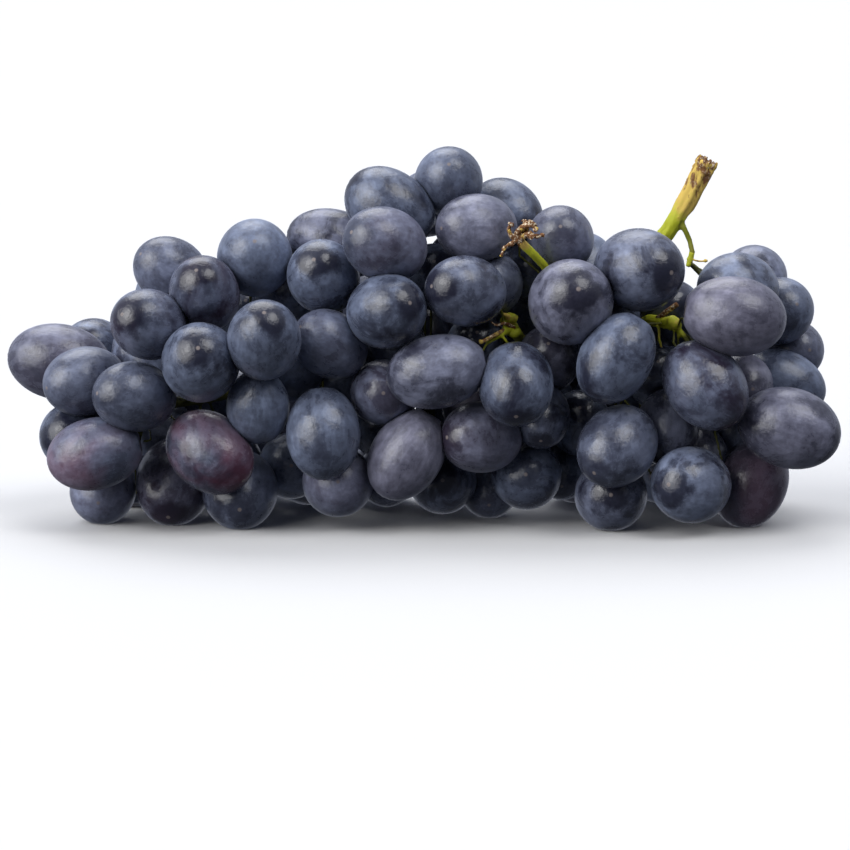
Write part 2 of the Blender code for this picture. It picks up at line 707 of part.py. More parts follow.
def drop_flaps(mesh):
    """Makes the faces triangles, and drops pairs of them that lie back to back."""
    shape = bmesh.new()
    shape.from_mesh(mesh)
    bmesh.ops.triangulate(shape, faces=shape.faces)
    over = {}
    for face in shape.faces:
        over.setdefault(frozenset(face.verts), []).append(face)
    flaps = [face for faces in over.values() if len(faces) > 1 for face in faces]
    bmesh.ops.delete(shape, geom=flaps, context="FACES")
    shape.to_mesh(mesh)
    shape.free()


def flatten_on_surface(body, cutter):
    """Cuts the resting berries flat, level with the surface."""
    cut = body.modifiers.new("rest", "BOOLEAN")
    cut.operation = "DIFFERENCE"
    cut.object = cutter


def finish(body, material):
    body.data.materials.clear()
    body.data.materials.append(material)
    body.data.shade_smooth()
    body.data.set_sharp_from_angle(angle=SHARP_ANGLE)


def make_stalk(berries, stems, collection):
    """The peduncle, rachis, twigs and pedicels, grown as one piece."""
    holders = [stem_curve(points, radii, MAIN_ROUNDING) for points, radii in stems]
    holders += [stem_curve(points, radii, TWIG_ROUNDING)
                for points, radii in twig_lines(berries, stems)]
    meshes = stem_meshes(holders)
    for points, radii in stems[2:]:
        meshes.append(knot_mesh(points[0], radii[0] * KNOT))
    stalk = fuse("stalk", meshes, collection, "MANIFOLD")
    drop_flaps(stalk.data)
    keep_outer_skin(stalk.data)
    return stalk


def main():
    for item in list(bpy.data.objects):
        bpy.data.objects.remove(item)
    scene = bpy.context.scene
    bunch = bpy.data.collections.new("grape_bunch")
    cutters = bpy.data.collections.new("cutters")
    scene.collection.children.link(bunch)
    scene.collection.children.link(cutters)

    skin = make_material("grape_skin")
    green = make_material("stem_green")
    berries, stems = lay_out()
    shift = to_middle(berries)

    slab = bmesh.new()
    bmesh.ops.create_cube(slab, size=1.0, matrix=Matrix.Translation((0, 0, -SLAB[2] / 2))
                          @ Matrix.Diagonal((*SLAB, 1.0)))
    slab_mesh = bpy.data.meshes.new("surface")
    slab.to_mesh(slab_mesh)
    slab.free()
    surface = add_object("surface", slab_mesh, cutters)
    surface.hide_render = True
    surface.display_type = "WIRE"

    for spray in sorted({berry["spray"] for berry in berries}):
        members = [berry for berry in berries if berry["spray"] == spray]
        body = fuse(spray, [berry_mesh(berry) for berry in members], bunch, "EXACT")
        finish(body, skin)
        body.location = shift
        lowest = min(Vector(corner).z for corner in body.bound_box)
        if lowest < 0:
            flatten_on_surface(body, surface)

    stalk = make_stalk(berries, stems, bunch)
    finish(stalk, green)
    stalk.location = shift


main()
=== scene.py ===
import math
import random

import bmesh
import bpy
import numpy as np
from mathutils import Euler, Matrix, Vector, noise


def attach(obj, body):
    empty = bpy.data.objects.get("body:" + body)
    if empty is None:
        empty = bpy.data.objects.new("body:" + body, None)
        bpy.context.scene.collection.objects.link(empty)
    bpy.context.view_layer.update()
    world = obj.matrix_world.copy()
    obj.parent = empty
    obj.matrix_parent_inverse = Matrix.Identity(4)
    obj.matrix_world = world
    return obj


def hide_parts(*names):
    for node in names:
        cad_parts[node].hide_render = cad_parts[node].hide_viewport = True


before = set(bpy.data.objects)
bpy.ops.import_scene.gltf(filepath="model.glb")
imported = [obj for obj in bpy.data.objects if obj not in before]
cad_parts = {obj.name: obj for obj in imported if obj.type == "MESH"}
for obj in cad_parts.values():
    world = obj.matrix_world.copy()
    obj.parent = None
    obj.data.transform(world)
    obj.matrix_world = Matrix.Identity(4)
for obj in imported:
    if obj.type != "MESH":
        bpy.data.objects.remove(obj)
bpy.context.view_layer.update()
mm = 0.001
print("frame loaded")

# Where the picture was taken from. Lengths in metres, angles in radians.
picture = {
    "distance": 0.9,
    "rise": math.radians(8.0),
    "aim": np.array((0.0, 0.0, 0.0231)),
    "aimAcross": 0.4 * mm,
    "aimUp": 26.5 * mm,
    "widthShown": 0.221,       # how much of the bunch's length the picture's width takes in
    "sensor": 36.0,
}
rightward = np.array((1.0, 0.0, 0.0))
forward = np.array((0.0, math.cos(picture["rise"]), -math.sin(picture["rise"])))
upward = np.array((0.0, math.sin(picture["rise"]), math.cos(picture["rise"])))
eye = picture["aim"] - picture["distance"] * forward

# How the berries lie: the same sizes and rules as the solids have.
lie = {
    "slenderness": 1.27,
    "farCount": 34,
    "farWidths": (17.5 * mm, 20.5 * mm),
    "farStart": -92,                 # along the bunch, in millimetres
    "farStretch": 184,
    "farReaches": (28, 46),          # millimetres off its middle line
    "farSides": (-35, 150),          # degrees above the way back
    "farFront": 6 * mm,
    "farHeight": 40 * mm,
    "farLean": 0.4,
    "seed": 7,
    "sprayGap": 0.5 * mm,
    "squeeze": 1.0 * mm,
    "bond": 1.5 * mm,
    "stemGap": 0.45 * mm,
    "flat": 0.45 * mm,
    "restReach": 1.8 * mm,
    "rounds": 900,
    "namingRound": 150,
    "bondRound": 450,
    "calmRound": 650,
    "lookRounds": 25,
    "reach": 34 * mm,
    "ease": 0.4,
    "sideGive": 0.08,
    "draw": 0.25 * mm,
    "down": 0.15 * mm,
    "sideHold": 0.25,
    "depthHold": 0.06,
    "peepHole": (2.5 * mm, 75.0 * mm),
    "peepRadius": 1.6 * mm,
    "farEndHeights": (10 * mm, 28 * mm),
    "farEnds": (88 * mm, 101 * mm),
}

# The berries that the picture shows: across, up, depth, length, width (mm) and the turn of the
# flower end (degrees).
sprays = {
    "berries_tip": (
        (-94.5, 43, -8, 27, 19.5, 172), (-88, 38.2, -22, 21.5, 18, 190),
        (-75, 34, -38, 21.5, 18.3, 175), (-85.3, 19, -34, 25, 18.5, 192),
        (-82.3, 8.5, -20, 17.5, 17, 250), (-90.2, 23.5, -12, 19, 18, 180),
        (-85, 45.5, 8, 18, 17, 150)),
    "berries_tip_low": (
        (-66, 11.8, -20, 23, 20, 260), (-54.2, 21, -36, 24.5, 20, -40),
        (-47, 10.5, -18, 20.5, 19.5, 270), (-34, 16, -6, 17, 17, 270),
        (-42, 31.7, -24, 19, 16, 90)),
    "berries_left": (
        (-58.1, 41.7, -40, 20.8, 20.3, 100), (-74, 52, -32, 20, 18, 160),
        (-65.8, 66.5, -12, 20, 17, 150), (-55.6, 61.4, -28, 19.5, 18, 110),
        (-43.3, 70.5, -15, 20, 19.3, 90), (-40.2, 48.5, -36, 20.6, 18.8, 90)),
    "berries_crest": (
        (-23.5, 73, -2, 25, 17.5, 165), (-10, 74, -30, 22, 19, 160),
        (-9.5, 82.3, -12, 25, 19.5, 145), (7.3, 89.8, -6, 18, 17.2, 90),
        (-26, 65, -24, 19.5, 18.5, 120), (-9.8, 55.2, -36, 20.8, 19.3, 20),
        (-23, 46.3, -25, 20, 17, 150)),
    "berries_crown": (
        (13.6, 78.3, -24, 21, 17.8, 180), (21.5, 81.5, -6, 20, 17, -35),
        (35, 73.5, -17, 17.5, 17, 90), (10.8, 61.3, -30, 20.8, 17.8, 172),
        (17.5, 62.5, -13, 17, 17, 90)),
    "berries_middle": (
        (3, 40.5, -37, 26.5, 18.8, 192), (24.5, 37, -42, 22, 19.4, 270),
        (16.3, 21.5, -30, 21.5, 18.5, 180), (-8, 18.3, -32, 25, 18.5, 240),
        (-13, 37, -14, 17, 17, 90), (33.5, 29.5, -24, 17, 15, 270)),
    "berries_low": (
        (-27.3, 25, -34, 24, 19, 272), (-22.7, 11.5, -18, 18, 18, 270),
        (-11, 13, -14, 16, 15, 270), (6.8, 12, -17, 17.5, 17.5, 270),
        (26.5, 14, -14, 18, 18, 280), (17, 12, 0, 16, 15, 270),
        (35.5, 15, 0, 16, 15, 270)),
    "berries_right": (
        (37, 58, -32, 22.3, 21.8, 60), (57, 67.3, -26, 23.5, 21.3, -5),
        (51.5, 68, -6, 17, 17, 90), (50.5, 43.5, -42, 25, 18.8, 240)),
    "berries_right_low": (
        (51, 21.5, -33, 22.5, 19.5, 230), (48.7, 10.5, -16, 18.5, 18.5, 270),
        (69.5, 11.2, -30, 20.8, 19.5, 180), (86.5, 11.2, -19, 23.5, 18.7, 245),
        (63.5, 25, -19, 20, 16, 270), (70, 20, -14, 17, 16, 270)),
    "berries_shoulder": (
        (95, 25.7, -30, 27, 20.5, -15), (73, 36.3, -35, 25, 20, -50),
        (81, 55.3, -37, 26.8, 20.5, -8), (82, 61.5, -18, 21.5, 19, 170),
        (86, 64.5, 0, 17, 17, 60), (92, 56.5, -2, 18, 17, 20),
        (95.5, 46, 8, 17, 16, 0), (94, 37.5, -12, 22, 16, -25),
        (82.5, 37, -18, 17, 16.5, -20)),
}
farSprays = (("berries_far_tip", -52 * mm), ("berries_far_left", -14 * mm),
             ("berries_far_middle", 24 * mm), ("berries_far_right", 58 * mm),
             ("berries_far_shoulder", 200 * mm))

# Berries just behind the seen ones, that show as dark skin in the gaps: across, up and depth,
# then the length, width and turn of each.
inner = {
    "berries_tip_low": ((-69, 25, -12), (-55, 34, -2)),
    "berries_left": ((-46, 55, 0), (-35, 62, -6)),
    "berries_crest": ((1, 84, 6), (-21, 38, -6), (-32.5, 39.5, -14)),
    "berries_low": ((-12, 28, -6), (41, 27.5, -10)),
    "berries_crown": ((28, 66.5, -6), (2.5, 65, -8), (27, 57, 2)),
    "berries_middle": ((14, 47, -12), (32, 45, -10), (-9, 46, -12), (13, 32, -12)),
    "berries_right": ((66, 53.5, -6), (47, 54, -10)),
    "berries_right_low": ((61, 39, -14), (79, 24, -8)),
}
innerSize = (17, 16.3, 90)

# The stems laid one by one: across, up, depth and radius (mm).
stemRows = {
    "peduncle": ((73.8, 95.0, 2, 3.1), (71.5, 90.5, 2, 3.0), (69.0, 85.5, 2, 2.7),
                 (66.0, 80.5, 2, 2.4), (62.5, 75.5, 3, 2.4), (58.0, 66.0, 6, 2.7),
                 (50.0, 57.0, 6, 2.9), (38.0, 51.5, 5, 2.9)),
    "rachis": ((38.0, 51.5, 5, 2.9), (30.0, 46.5, 5, 2.8), (20.0, 42.0, 4, 2.7),
               (4.0, 41.0, 3, 2.5), (-8.0, 42.0, 2, 2.4), (-32.0, 39.0, 0, 2.1),
               (-55.0, 34.0, -3, 1.8), (-72.0, 31.0, -8, 1.4)),
    "stub": ((36.0, 50.3, 5, 1.6), (34.5, 57.0, -8, 1.4), (33.5, 64.5, -21, 1.2),
             (31.2, 68.2, -27, 1.2), (28.2, 71.3, -31, 1.2), (25.0, 74.3, -33, 1.3)),
    "middleTwig": ((28.0, 45.5, 5, 1.7), (25.5, 48.3, -10, 1.6), (23.0, 52.0, -21, 1.9),
                   (20.5, 50.3, -26, 0.9), (16.4, 48.0, -30, 0.8)),
    "rightTwig": ((46.0, 55.2, 6, 1.7), (53.5, 51.0, -6, 1.6), (58.8, 53.8, -16, 1.7),
                  (63.8, 53.0, -20, 1.7), (66.5, 51.8, -22, 1.5)),
    "peduncleTwig": ((66.0, 80.5, 2, 1.0), (67.7, 77.8, 1, 0.9), (69.2, 74.5, 1, 0.8),
                     (69.9, 71.5, 0, 0.8), (68.9, 68.3, 0, 0.7)),
}
heartRows = ((-84, 30, -8), (-55, 34, -3), (-8, 43, 2), (38, 48, 5), (62, 44, 5), (88, 38, 0))
skylineAcross = np.array((-110, -95, -82, -68, -45, -22, -5, 8, 24, 42, 60, 80, 95, 108)) * mm
skylineUp = np.array((38, 50, 58, 72, 76, 79, 90, 94, 86, 78, 76, 70, 63, 30)) * mm


def onSightLine(across, up, depth):
    ray = (forward * picture["distance"] + rightward * (across - picture["aimAcross"])
           + upward * (up - picture["aimUp"]))
    scale = (depth - eye[1]) / ray[1]
    return eye + ray * scale, scale


def linePoints(rows):
    return np.array([onSightLine(*(np.array(row[:3]) * mm))[0] for row in rows])


def unit(vector):
    return vector / np.linalg.norm(vector)


def seenBerries():
    berries = []
    for spray, rows in sprays.items():
        hidden = tuple(row + innerSize for row in inner.get(spray, ()))
        for across, up, depth, length, width, turn in rows + hidden:
            centre, scale = onSightLine(across * mm, up * mm, depth * mm)
            sight = unit(centre - eye)
            wide = width * mm * scale
            seenLong = length * mm * scale
            trueLong = max(seenLong, lie["slenderness"] * wide)
            share = (seenLong ** 2 - wide ** 2) / (trueLong ** 2 - wide ** 2)
            turn = math.radians(turn)
            flat = rightward * math.cos(turn) + upward * math.sin(turn)
            axis = unit(flat * math.sqrt(share) - sight * math.sqrt(1 - share))
            berries.append({"spray": spray, "centre": centre, "axis": axis, "sight": sight,
                            "halfLong": trueLong / 2, "halfWide": wide / 2, "far": False})
    return berries


def nearestOn(line, point):
    starts = line[:-1]
    spans = line[1:] - starts
    shares = np.clip(((point - starts) * spans).sum(1) / (spans * spans).sum(1), 0, 1)
    feet = starts + spans * shares[:, None]
    return feet[np.argmin(((feet - point) ** 2).sum(1))]


def farBerries(heart):
    draw = random.Random(lie["seed"])
    berries = []
    for index in range(lie["farCount"]):
        spot = index + draw.uniform(0.1, 0.9)
        along = lie["farStart"] + lie["farStretch"] * spot / lie["farCount"]
        side = math.radians(draw.uniform(*lie["farSides"]))
        across = along * mm
        root = nearestOn(heart, np.array((across, 0.0, lie["farHeight"])))
        reach = draw.uniform(*lie["farReaches"]) * mm
        centre = root + reach * np.array((0.0, math.sin(side), math.cos(side)))
        centre[0] = across
        centre[1] = max(centre[1], lie["farFront"])
        wide = draw.uniform(*lie["farWidths"])
        lean = np.array([draw.uniform(-lie["farLean"], lie["farLean"]) for _ in range(3)])
        axis = unit(unit(centre - root) + lean)
        berries.append({"spray": None, "centre": centre, "axis": axis, "sight": forward,
                        "halfLong": wide * lie["slenderness"] / 2, "halfWide": wide / 2,
                        "far": True})
    return berries


def shapeMatrix(berry):
    wide = berry["halfWide"] ** 2
    return wide * np.eye(3) + (berry["halfLong"] ** 2 - wide) * np.outer(berry["axis"],
                                                                        berry["axis"])


def pairGaps(centres, shapes, first, second):
    apart = centres[second] - centres[first]
    facing = np.linalg.solve(shapes[first] + shapes[second], apart[..., None])[..., 0]
    facing /= np.linalg.norm(facing, axis=1, keepdims=True)
    nearReach = np.sqrt(np.einsum("ni,nij,nj->n", facing, shapes[first], facing))
    farReach = np.sqrt(np.einsum("ni,nij,nj->n", facing, shapes[second], facing))
    return facing, (apart * facing).sum(1) - nearReach - farReach


def bondsOf(names, first, second, gaps):
    group = list(range(len(names)))
    bonds = []
    for place in np.argsort(gaps):
        one, other = int(first[place]), int(second[place])
        if names[one] != names[other] or group[one] == group[other]:
            continue
        old = group[other]
        group = [group[one] if name == old else name for name in group]
        bonds.append((one, other))
    return bonds


def nearestFeet(starts, spans, centres):
    shares = np.einsum("nmi,mi->nm", centres[:, None] - starts, spans) / (spans ** 2).sum(1)
    shares = np.clip(shares, 0, 1)
    return shares, centres[:, None] - starts - spans * shares[..., None]


def offStems(centres, shapes, mobility, stretches):
    starts, spans, radii, growth = stretches
    shares, apart = nearestFeet(starts, spans, centres)
    distance = np.linalg.norm(apart, axis=2)
    away = apart / distance[..., None]
    reach = np.sqrt(np.einsum("nmi,nij,nmj->nm", away, shapes, away))
    lack = np.clip(lie["stemGap"] + radii + growth * shares + reach - distance, 0, None)
    push = np.einsum("nij,nmj->nmi", mobility, away)
    return (push * (lack / (push * away).sum(2))[..., None]).sum(1)


def drawnIn(centres, far, heart):
    moves = np.zeros_like(centres)
    _, apart = nearestFeet(heart[:-1], heart[1:] - heart[:-1], centres[far])
    nearest = np.argmin(np.linalg.norm(apart, axis=2), axis=1)
    way = apart[np.arange(len(apart)), nearest]
    moves[far] = -lie["draw"] * way / np.linalg.norm(way, axis=1, keepdims=True)
    moves[far, 2] = -lie["down"]
    return moves


def underSkyline(centres, shapes, far):
    moves = np.zeros_like(centres)
    ray = centres[far] - eye
    scale = picture["distance"] / (ray @ forward)
    across = picture["aimAcross"] + ray @ rightward * scale
    up = picture["aimUp"] + ray @ upward * scale
    over = up + np.sqrt(shapes[far, 2, 2]) - np.interp(across, skylineAcross, skylineUp)
    moves[far, 2] = -np.clip(over, 0, None)
    ends = centres[far, 0] + np.sign(centres[far, 0]) * np.sqrt(shapes[far, 0, 0])
    limits = np.interp(centres[far, 2], lie["farEndHeights"], lie["farEnds"])
    moves[far, 0] -= np.sign(ends) * np.clip(abs(ends) - limits, 0, None)
    hole = (across - lie["peepHole"][0], up - lie["peepHole"][1])
    off = np.hypot(*hole)
    lack = np.clip(lie["peepRadius"] + np.sqrt(shapes[far, 0, 0]) - off, 0, None)
    moves[far, 0] += lack * hole[0] / off
    moves[far, 2] += lack * hole[1] / off
    return moves


def nameFarSprays(berries, centres):
    for berry, centre in zip(berries, centres):
        if berry["far"]:
            berry["spray"] = next(name for name, end in farSprays if centre[0] < end)


def settle(berries, stems):
    centres = np.array([berry["centre"] for berry in berries])
    anchors = centres.copy()
    shapes = np.array([shapeMatrix(berry) for berry in berries])
    drops = np.sqrt(shapes[:, 2, 2])
    far = np.array([berry["far"] for berry in berries])
    sights = np.array([berry["sight"] for berry in berries])
    alongSight = np.einsum("ni,nj->nij", sights, sights)
    mobility = np.where(far[:, None, None], np.eye(3), lie["sideGive"] * np.eye(3)
                        + (1 - lie["sideGive"]) * alongSight)
    hold = np.where(far[:, None, None], 0.0, lie["sideHold"] * (np.eye(3) - alongSight)
                    + lie["depthHold"] * alongSight)
    stretches = (np.concatenate([line[:-1] for line, _ in stems]),
                 np.concatenate([line[1:] - line[:-1] for line, _ in stems]),
                 np.concatenate([wide[:-1] for _, wide in stems]),
                 np.concatenate([wide[1:] - wide[:-1] for _, wide in stems]))
    heart = linePoints(heartRows)
    every = np.triu_indices(len(berries), 1)
    names = [berry["spray"] for berry in berries]
    bonds = []
    for step in range(lie["rounds"]):
        if step == lie["namingRound"]:
            nameFarSprays(berries, centres)
            names = [berry["spray"] for berry in berries]
        if step % lie["lookRounds"] == 0:
            close = np.linalg.norm(centres[every[0]] - centres[every[1]], axis=1) < lie["reach"]
            first, second = every[0][close], every[1][close]
            same = np.array([names[a] == names[b] and names[a] is not None
                             for a, b in zip(first, second)])
            if lie["namingRound"] <= step <= lie["bondRound"]:
                held = set(bondsOf(names, first, second,
                                   pairGaps(centres, shapes, first, second)[1]))
            if step >= lie["namingRound"]:
                bonds = [place for place, pair in enumerate(zip(first, second))
                         if pair in held]
        facing, gaps = pairGaps(centres, shapes, first, second)
        lack = np.clip(np.where(same, -lie["squeeze"], lie["sprayGap"]) - gaps, 0, None)
        lack[bonds] = -lie["bond"] - gaps[bonds]
        pushFirst = np.einsum("nij,nj->ni", mobility[first], facing)
        pushSecond = np.einsum("nij,nj->ni", mobility[second], facing)
        share = lack / ((pushFirst + pushSecond) * facing).sum(1)
        moves = offStems(centres, shapes, mobility, stretches)
        np.add.at(moves, first, -pushFirst * share[:, None])
        np.add.at(moves, second, pushSecond * share[:, None])
        moves += underSkyline(centres, shapes, far)
        if step < lie["calmRound"]:
            moves += np.einsum("nij,nj->ni", hold, anchors - centres)
            moves += drawnIn(centres, far, heart)
        centres += lie["ease"] * moves
        low = centres[:, 2] - drops
        resting = (low < lie["restReach"]) & (step > lie["bondRound"])
        centres[:, 2] = np.where(resting | (low < -lie["flat"]), drops - lie["flat"],
                                 centres[:, 2])
    for berry, centre in zip(berries, np.round(centres, 5)):
        berry["centre"] = centre
    return berries


def toMiddle(berries):
    centres = np.array([berry["centre"] for berry in berries])
    reach = np.sqrt(np.array([np.diag(shapeMatrix(berry)) for berry in berries]))
    middle = ((centres - reach).min(0) + (centres + reach).max(0)) / 2
    return np.array((-round(middle[0], 4), -round(middle[1], 4), 0.0))


stems = {name: (linePoints(rows), np.array([row[3] * mm for row in rows]))
         for name, rows in stemRows.items()}
berries = settle(seenBerries() + farBerries(linePoints(heartRows)), list(stems.values()))
shift = toMiddle(berries)
for berry in berries:
    berry["centre"] = berry["centre"] + shift
stems = {name: (line + shift, radii) for name, (line, radii) in stems.items()}
print("berries settled:", len(berries), "shift", shift)


# Small helpers for node materials.
def newMaterial(name):
    material = bpy.data.materials.new(name)
    material.use_nodes = True
    return material, material.node_tree.nodes["Principled BSDF"]


def addNode(tree, kind, **values):
    node = tree.nodes.new(kind)
    for key, value in values.items():
        setattr(node, key, value)
    return node


def feed(tree, socket, value):
    if isinstance(value, bpy.types.NodeSocket):
        tree.links.new(value, socket)
    else:
        socket.default_value = value


def maths(tree, operation, *values, clamp=False):
    node = addNode(tree, "ShaderNodeMath", operation=operation, use_clamp=clamp)
    for socket, value in zip(node.inputs, values):
        feed(tree, socket, value)
    return node.outputs[0]


def smoothRange(tree, value, low, high, outLow=0.0, outHigh=1.0):
    node = addNode(tree, "ShaderNodeMapRange", interpolation_type="SMOOTHSTEP")
    for socket, number in zip(node.inputs[1:5], (low, high, outLow, outHigh)):
        socket.default_value = number
    feed(tree, node.inputs[0], value)
    return node.outputs[0]


def blendColour(tree, share, low, high):
    node = addNode(tree, "ShaderNodeMix", data_type="RGBA")
    feed(tree, node.inputs[0], share)
    feed(tree, node.inputs[6], low)
    feed(tree, node.inputs[7], high)
    return node.outputs[2]


def noiseValue(tree, vector, scale, detail=2.0, roughness=0.5, distortion=0.0):
    node = addNode(tree, "ShaderNodeTexNoise")
    feed(tree, node.inputs["Vector"], vector)
    node.inputs["Scale"].default_value = scale
    node.inputs["Detail"].default_value = detail
    node.inputs["Roughness"].default_value = roughness
    node.inputs["Distortion"].default_value = distortion
    return node.outputs[0]


def attribute(tree, name):
    return addNode(tree, "ShaderNodeAttribute", attribute_name=name)


# The skin: nearly black, under a grey-blue bloom that is rubbed off round the flower end and in
# patches.
skinLook = {
    "skin": (0.0070, 0.0065, 0.0180, 1.0),
    "redSkin": (0.090, 0.018, 0.040, 1.0),
    "bloom": (0.225, 0.272, 0.400, 1.0),
    "warmBloom": (0.262, 0.258, 0.350, 1.0),
    "redBloom": (0.290, 0.195, 0.260, 1.0),
    "streakStretch": (5.0, 5.0, 1.2),
    # the scars' colour: real scars, kept this pale partly as a painted glint at the flower end
    "scarAndGlint": (0.24, 0.20, 0.19, 1.0),
    "glossyRoughness": 0.20,
    "waxRoughness": 0.42,
    "patchScale": 95.0,
    "dentScale": 170.0,
    "blotchScale": 48.0,
    "rubScale": 92.0,
    "mottleScale": 300.0,
    "grainScale": 1500.0,
    "tipPatch": (0.74, 0.34),   # where the dark patch round the flower end begins and is full
    "waxes": (0.7, 1.05),       # the least and most waxy berry
    "blushes": (-0.6, 0.22),    # and the least and most red: below 0 there is none
    "rubbings": (0.15, 0.5, 0.8, 1.0),
    "seed": 21,
}


def makeSkin():
    material, shader = newMaterial("grapeSkin")
    tree = material.node_tree
    place = addNode(tree, "ShaderNodeTexCoord").outputs["Object"]
    local = attribute(tree, "local").outputs["Vector"]
    wax = attribute(tree, "wax").outputs["Fac"]
    blush = attribute(tree, "blush").outputs["Fac"]
    rubbing = attribute(tree, "rubbing").outputs["Fac"]

    blotch = noiseValue(tree, place, skinLook["blotchScale"], 3.0, 0.55, 0.4)
    rub = noiseValue(tree, place, skinLook["rubScale"], 5.0, 0.62, 0.5)
    mottle = noiseValue(tree, place, skinLook["mottleScale"], 4.0, 0.65)
    grain = noiseValue(tree, place, skinLook["grainScale"], 2.0, 0.6)
    stretch = addNode(tree, "ShaderNodeMapping")
    stretch.inputs["Scale"].default_value = skinLook["streakStretch"]
    feed(tree, stretch.inputs["Vector"], local)
    streak = noiseValue(tree, stretch.outputs[0], 1.8, 3.0, 0.55, 0.3)

    split = addNode(tree, "ShaderNodeSeparateXYZ")
    feed(tree, split.inputs[0], local)
    aside = maths(tree, "SQRT", maths(tree, "ADD", maths(tree, "POWER", split.outputs[0], 2.0),
                                      maths(tree, "POWER", split.outputs[1], 2.0)))
    flowerSide = smoothRange(tree, split.outputs[2], 0.1, 0.5)
    low, high = skinLook["tipPatch"]
    patchy = noiseValue(tree, place, skinLook["patchScale"], 2.0, 0.45, 0.3)
    ragged = maths(tree, "ADD", aside, maths(tree, "MULTIPLY_ADD", patchy, 1.1, -0.55))
    ragged = maths(tree, "ADD", ragged, maths(tree, "MULTIPLY_ADD", mottle, 0.4, -0.2))
    tipPatch = maths(tree, "MULTIPLY", smoothRange(tree, ragged, low, high), flowerSide)
    tipPatch = maths(tree, "MULTIPLY", tipPatch, rubbing)

    rubbed = maths(tree, "MULTIPLY", smoothRange(tree, rub, 0.40, 0.68),
                   maths(tree, "MULTIPLY_ADD", rubbing, 0.5, 0.42))
    worn = maths(tree, "MAXIMUM", rubbed, maths(tree, "MULTIPLY", tipPatch, 0.90))
    even = maths(tree, "MULTIPLY_ADD", blotch, 1.6, 0.0)
    even = maths(tree, "MULTIPLY", even, maths(tree, "MULTIPLY_ADD", streak, 0.8, 0.50))
    mask = maths(tree, "MULTIPLY", even, maths(tree, "SUBTRACT", 1.0, worn))
    mask = maths(tree, "MULTIPLY", mask, maths(tree, "MULTIPLY_ADD", mottle, 1.9, 0.05))
    mask = maths(tree, "MULTIPLY", mask, wax, clamp=True)

    # the scars at the flower and stem ends: real marks whose pale colour at the flower end is
    # partly a painted glint
    atFlower = maths(tree, "MULTIPLY", smoothRange(tree, aside, 0.075, 0.03), flowerSide)
    atStem = maths(tree, "MULTIPLY", smoothRange(tree, aside, 0.24, 0.12),
                   smoothRange(tree, split.outputs[2], -0.5, -0.8))
    scarAndGlint = maths(tree, "MAXIMUM", atFlower, atStem)

    bloom = blendColour(tree, attribute(tree, "warmth").outputs["Fac"], skinLook["bloom"],
                        skinLook["warmBloom"])
    redness = maths(tree, "MULTIPLY", blush, smoothRange(tree, blotch, 0.30, 0.58), clamp=True)
    bloom = blendColour(tree, maths(tree, "MULTIPLY", redness, 0.8), bloom,
                        skinLook["redBloom"])
    base = blendColour(tree, redness, skinLook["skin"], skinLook["redSkin"])
    colour = blendColour(tree, mask, base, bloom)
    colour = blendColour(tree, maths(tree, "MULTIPLY", scarAndGlint, 0.8), colour, skinLook["scarAndGlint"])
    feed(tree, shader.inputs["Base Color"], colour)
    rough = addNode(tree, "ShaderNodeMapRange")
    feed(tree, rough.inputs[0], mask)
    rough.inputs[3].default_value = skinLook["glossyRoughness"]
    rough.inputs[4].default_value = skinLook["waxRoughness"]
    feed(tree, shader.inputs["Roughness"],
         maths(tree, "MAXIMUM", rough.outputs[0], maths(tree, "MULTIPLY", scarAndGlint, 0.6)))

    bump = addNode(tree, "ShaderNodeBump")
    dent = noiseValue(tree, place, skinLook["dentScale"], 4.0, 0.58)
    bump.inputs["Strength"].default_value = 0.75
    bump.inputs["Distance"].default_value = 0.17 * mm
    rise = maths(tree, "MULTIPLY_ADD", grain, 0.16, maths(tree, "MULTIPLY", mask, 0.4))
    rise = maths(tree, "MULTIPLY_ADD", mottle, 0.85, rise)
    feed(tree, bump.inputs["Height"], maths(tree, "MULTIPLY_ADD", dent, 2.8, rise))
    feed(tree, shader.inputs["Normal"], bump.outputs[0])
    shader.inputs["Specular IOR Level"].default_value = 0.75
    shader.inputs["Sheen Weight"].default_value = 0.05
    shader.inputs["Sheen Roughness"].default_value = 0.40
    shader.inputs["Sheen Tint"].default_value = (0.80, 0.86, 1.0, 1.0)
    shader.inputs["IOR"].default_value = 1.45
    return material


# One fine berry, a unit ball to be stretched: its flower end is at +Z, its stem end at -Z.
berryShape = {
    "segments": 48,
    "rings": 34,
    "flowerDimple": (0.10, 0.016),   # how wide and how deep
    "flowerPoint": (0.035, 0.020),
    "stemDimple": (0.26, 0.060),
    "stemRim": (0.30, 0.012),
    "swell": 0.15 * mm,              # fine berries stand this much outside the faceted ones
    "unevenness": 0.10 * mm,
}


def makeBerryShape():
    shape = bmesh.new()
    bmesh.ops.create_uvsphere(shape, u_segments=berryShape["segments"],
                              v_segments=berryShape["rings"], radius=1.0)
    wide, deep = berryShape["flowerDimple"]
    pointWide, pointTall = berryShape["flowerPoint"]
    stemWide, stemDeep = berryShape["stemDimple"]
    rimWide, rimTall = berryShape["stemRim"]
    for vert in shape.verts:
        aside = math.hypot(vert.co.x, vert.co.y)
        if vert.co.z > 0:
            change = pointTall * math.exp(-(aside / pointWide) ** 2)
            change -= deep * math.exp(-(aside / wide) ** 2)
        else:
            change = rimTall * math.exp(-((aside - rimWide) / 0.08) ** 2)
            change -= stemDeep * math.exp(-(aside / stemWide) ** 4)
        vert.co *= 1 + change
    mesh = bpy.data.meshes.new("berryShape")
    shape.to_mesh(mesh)
    shape.free()
    return mesh


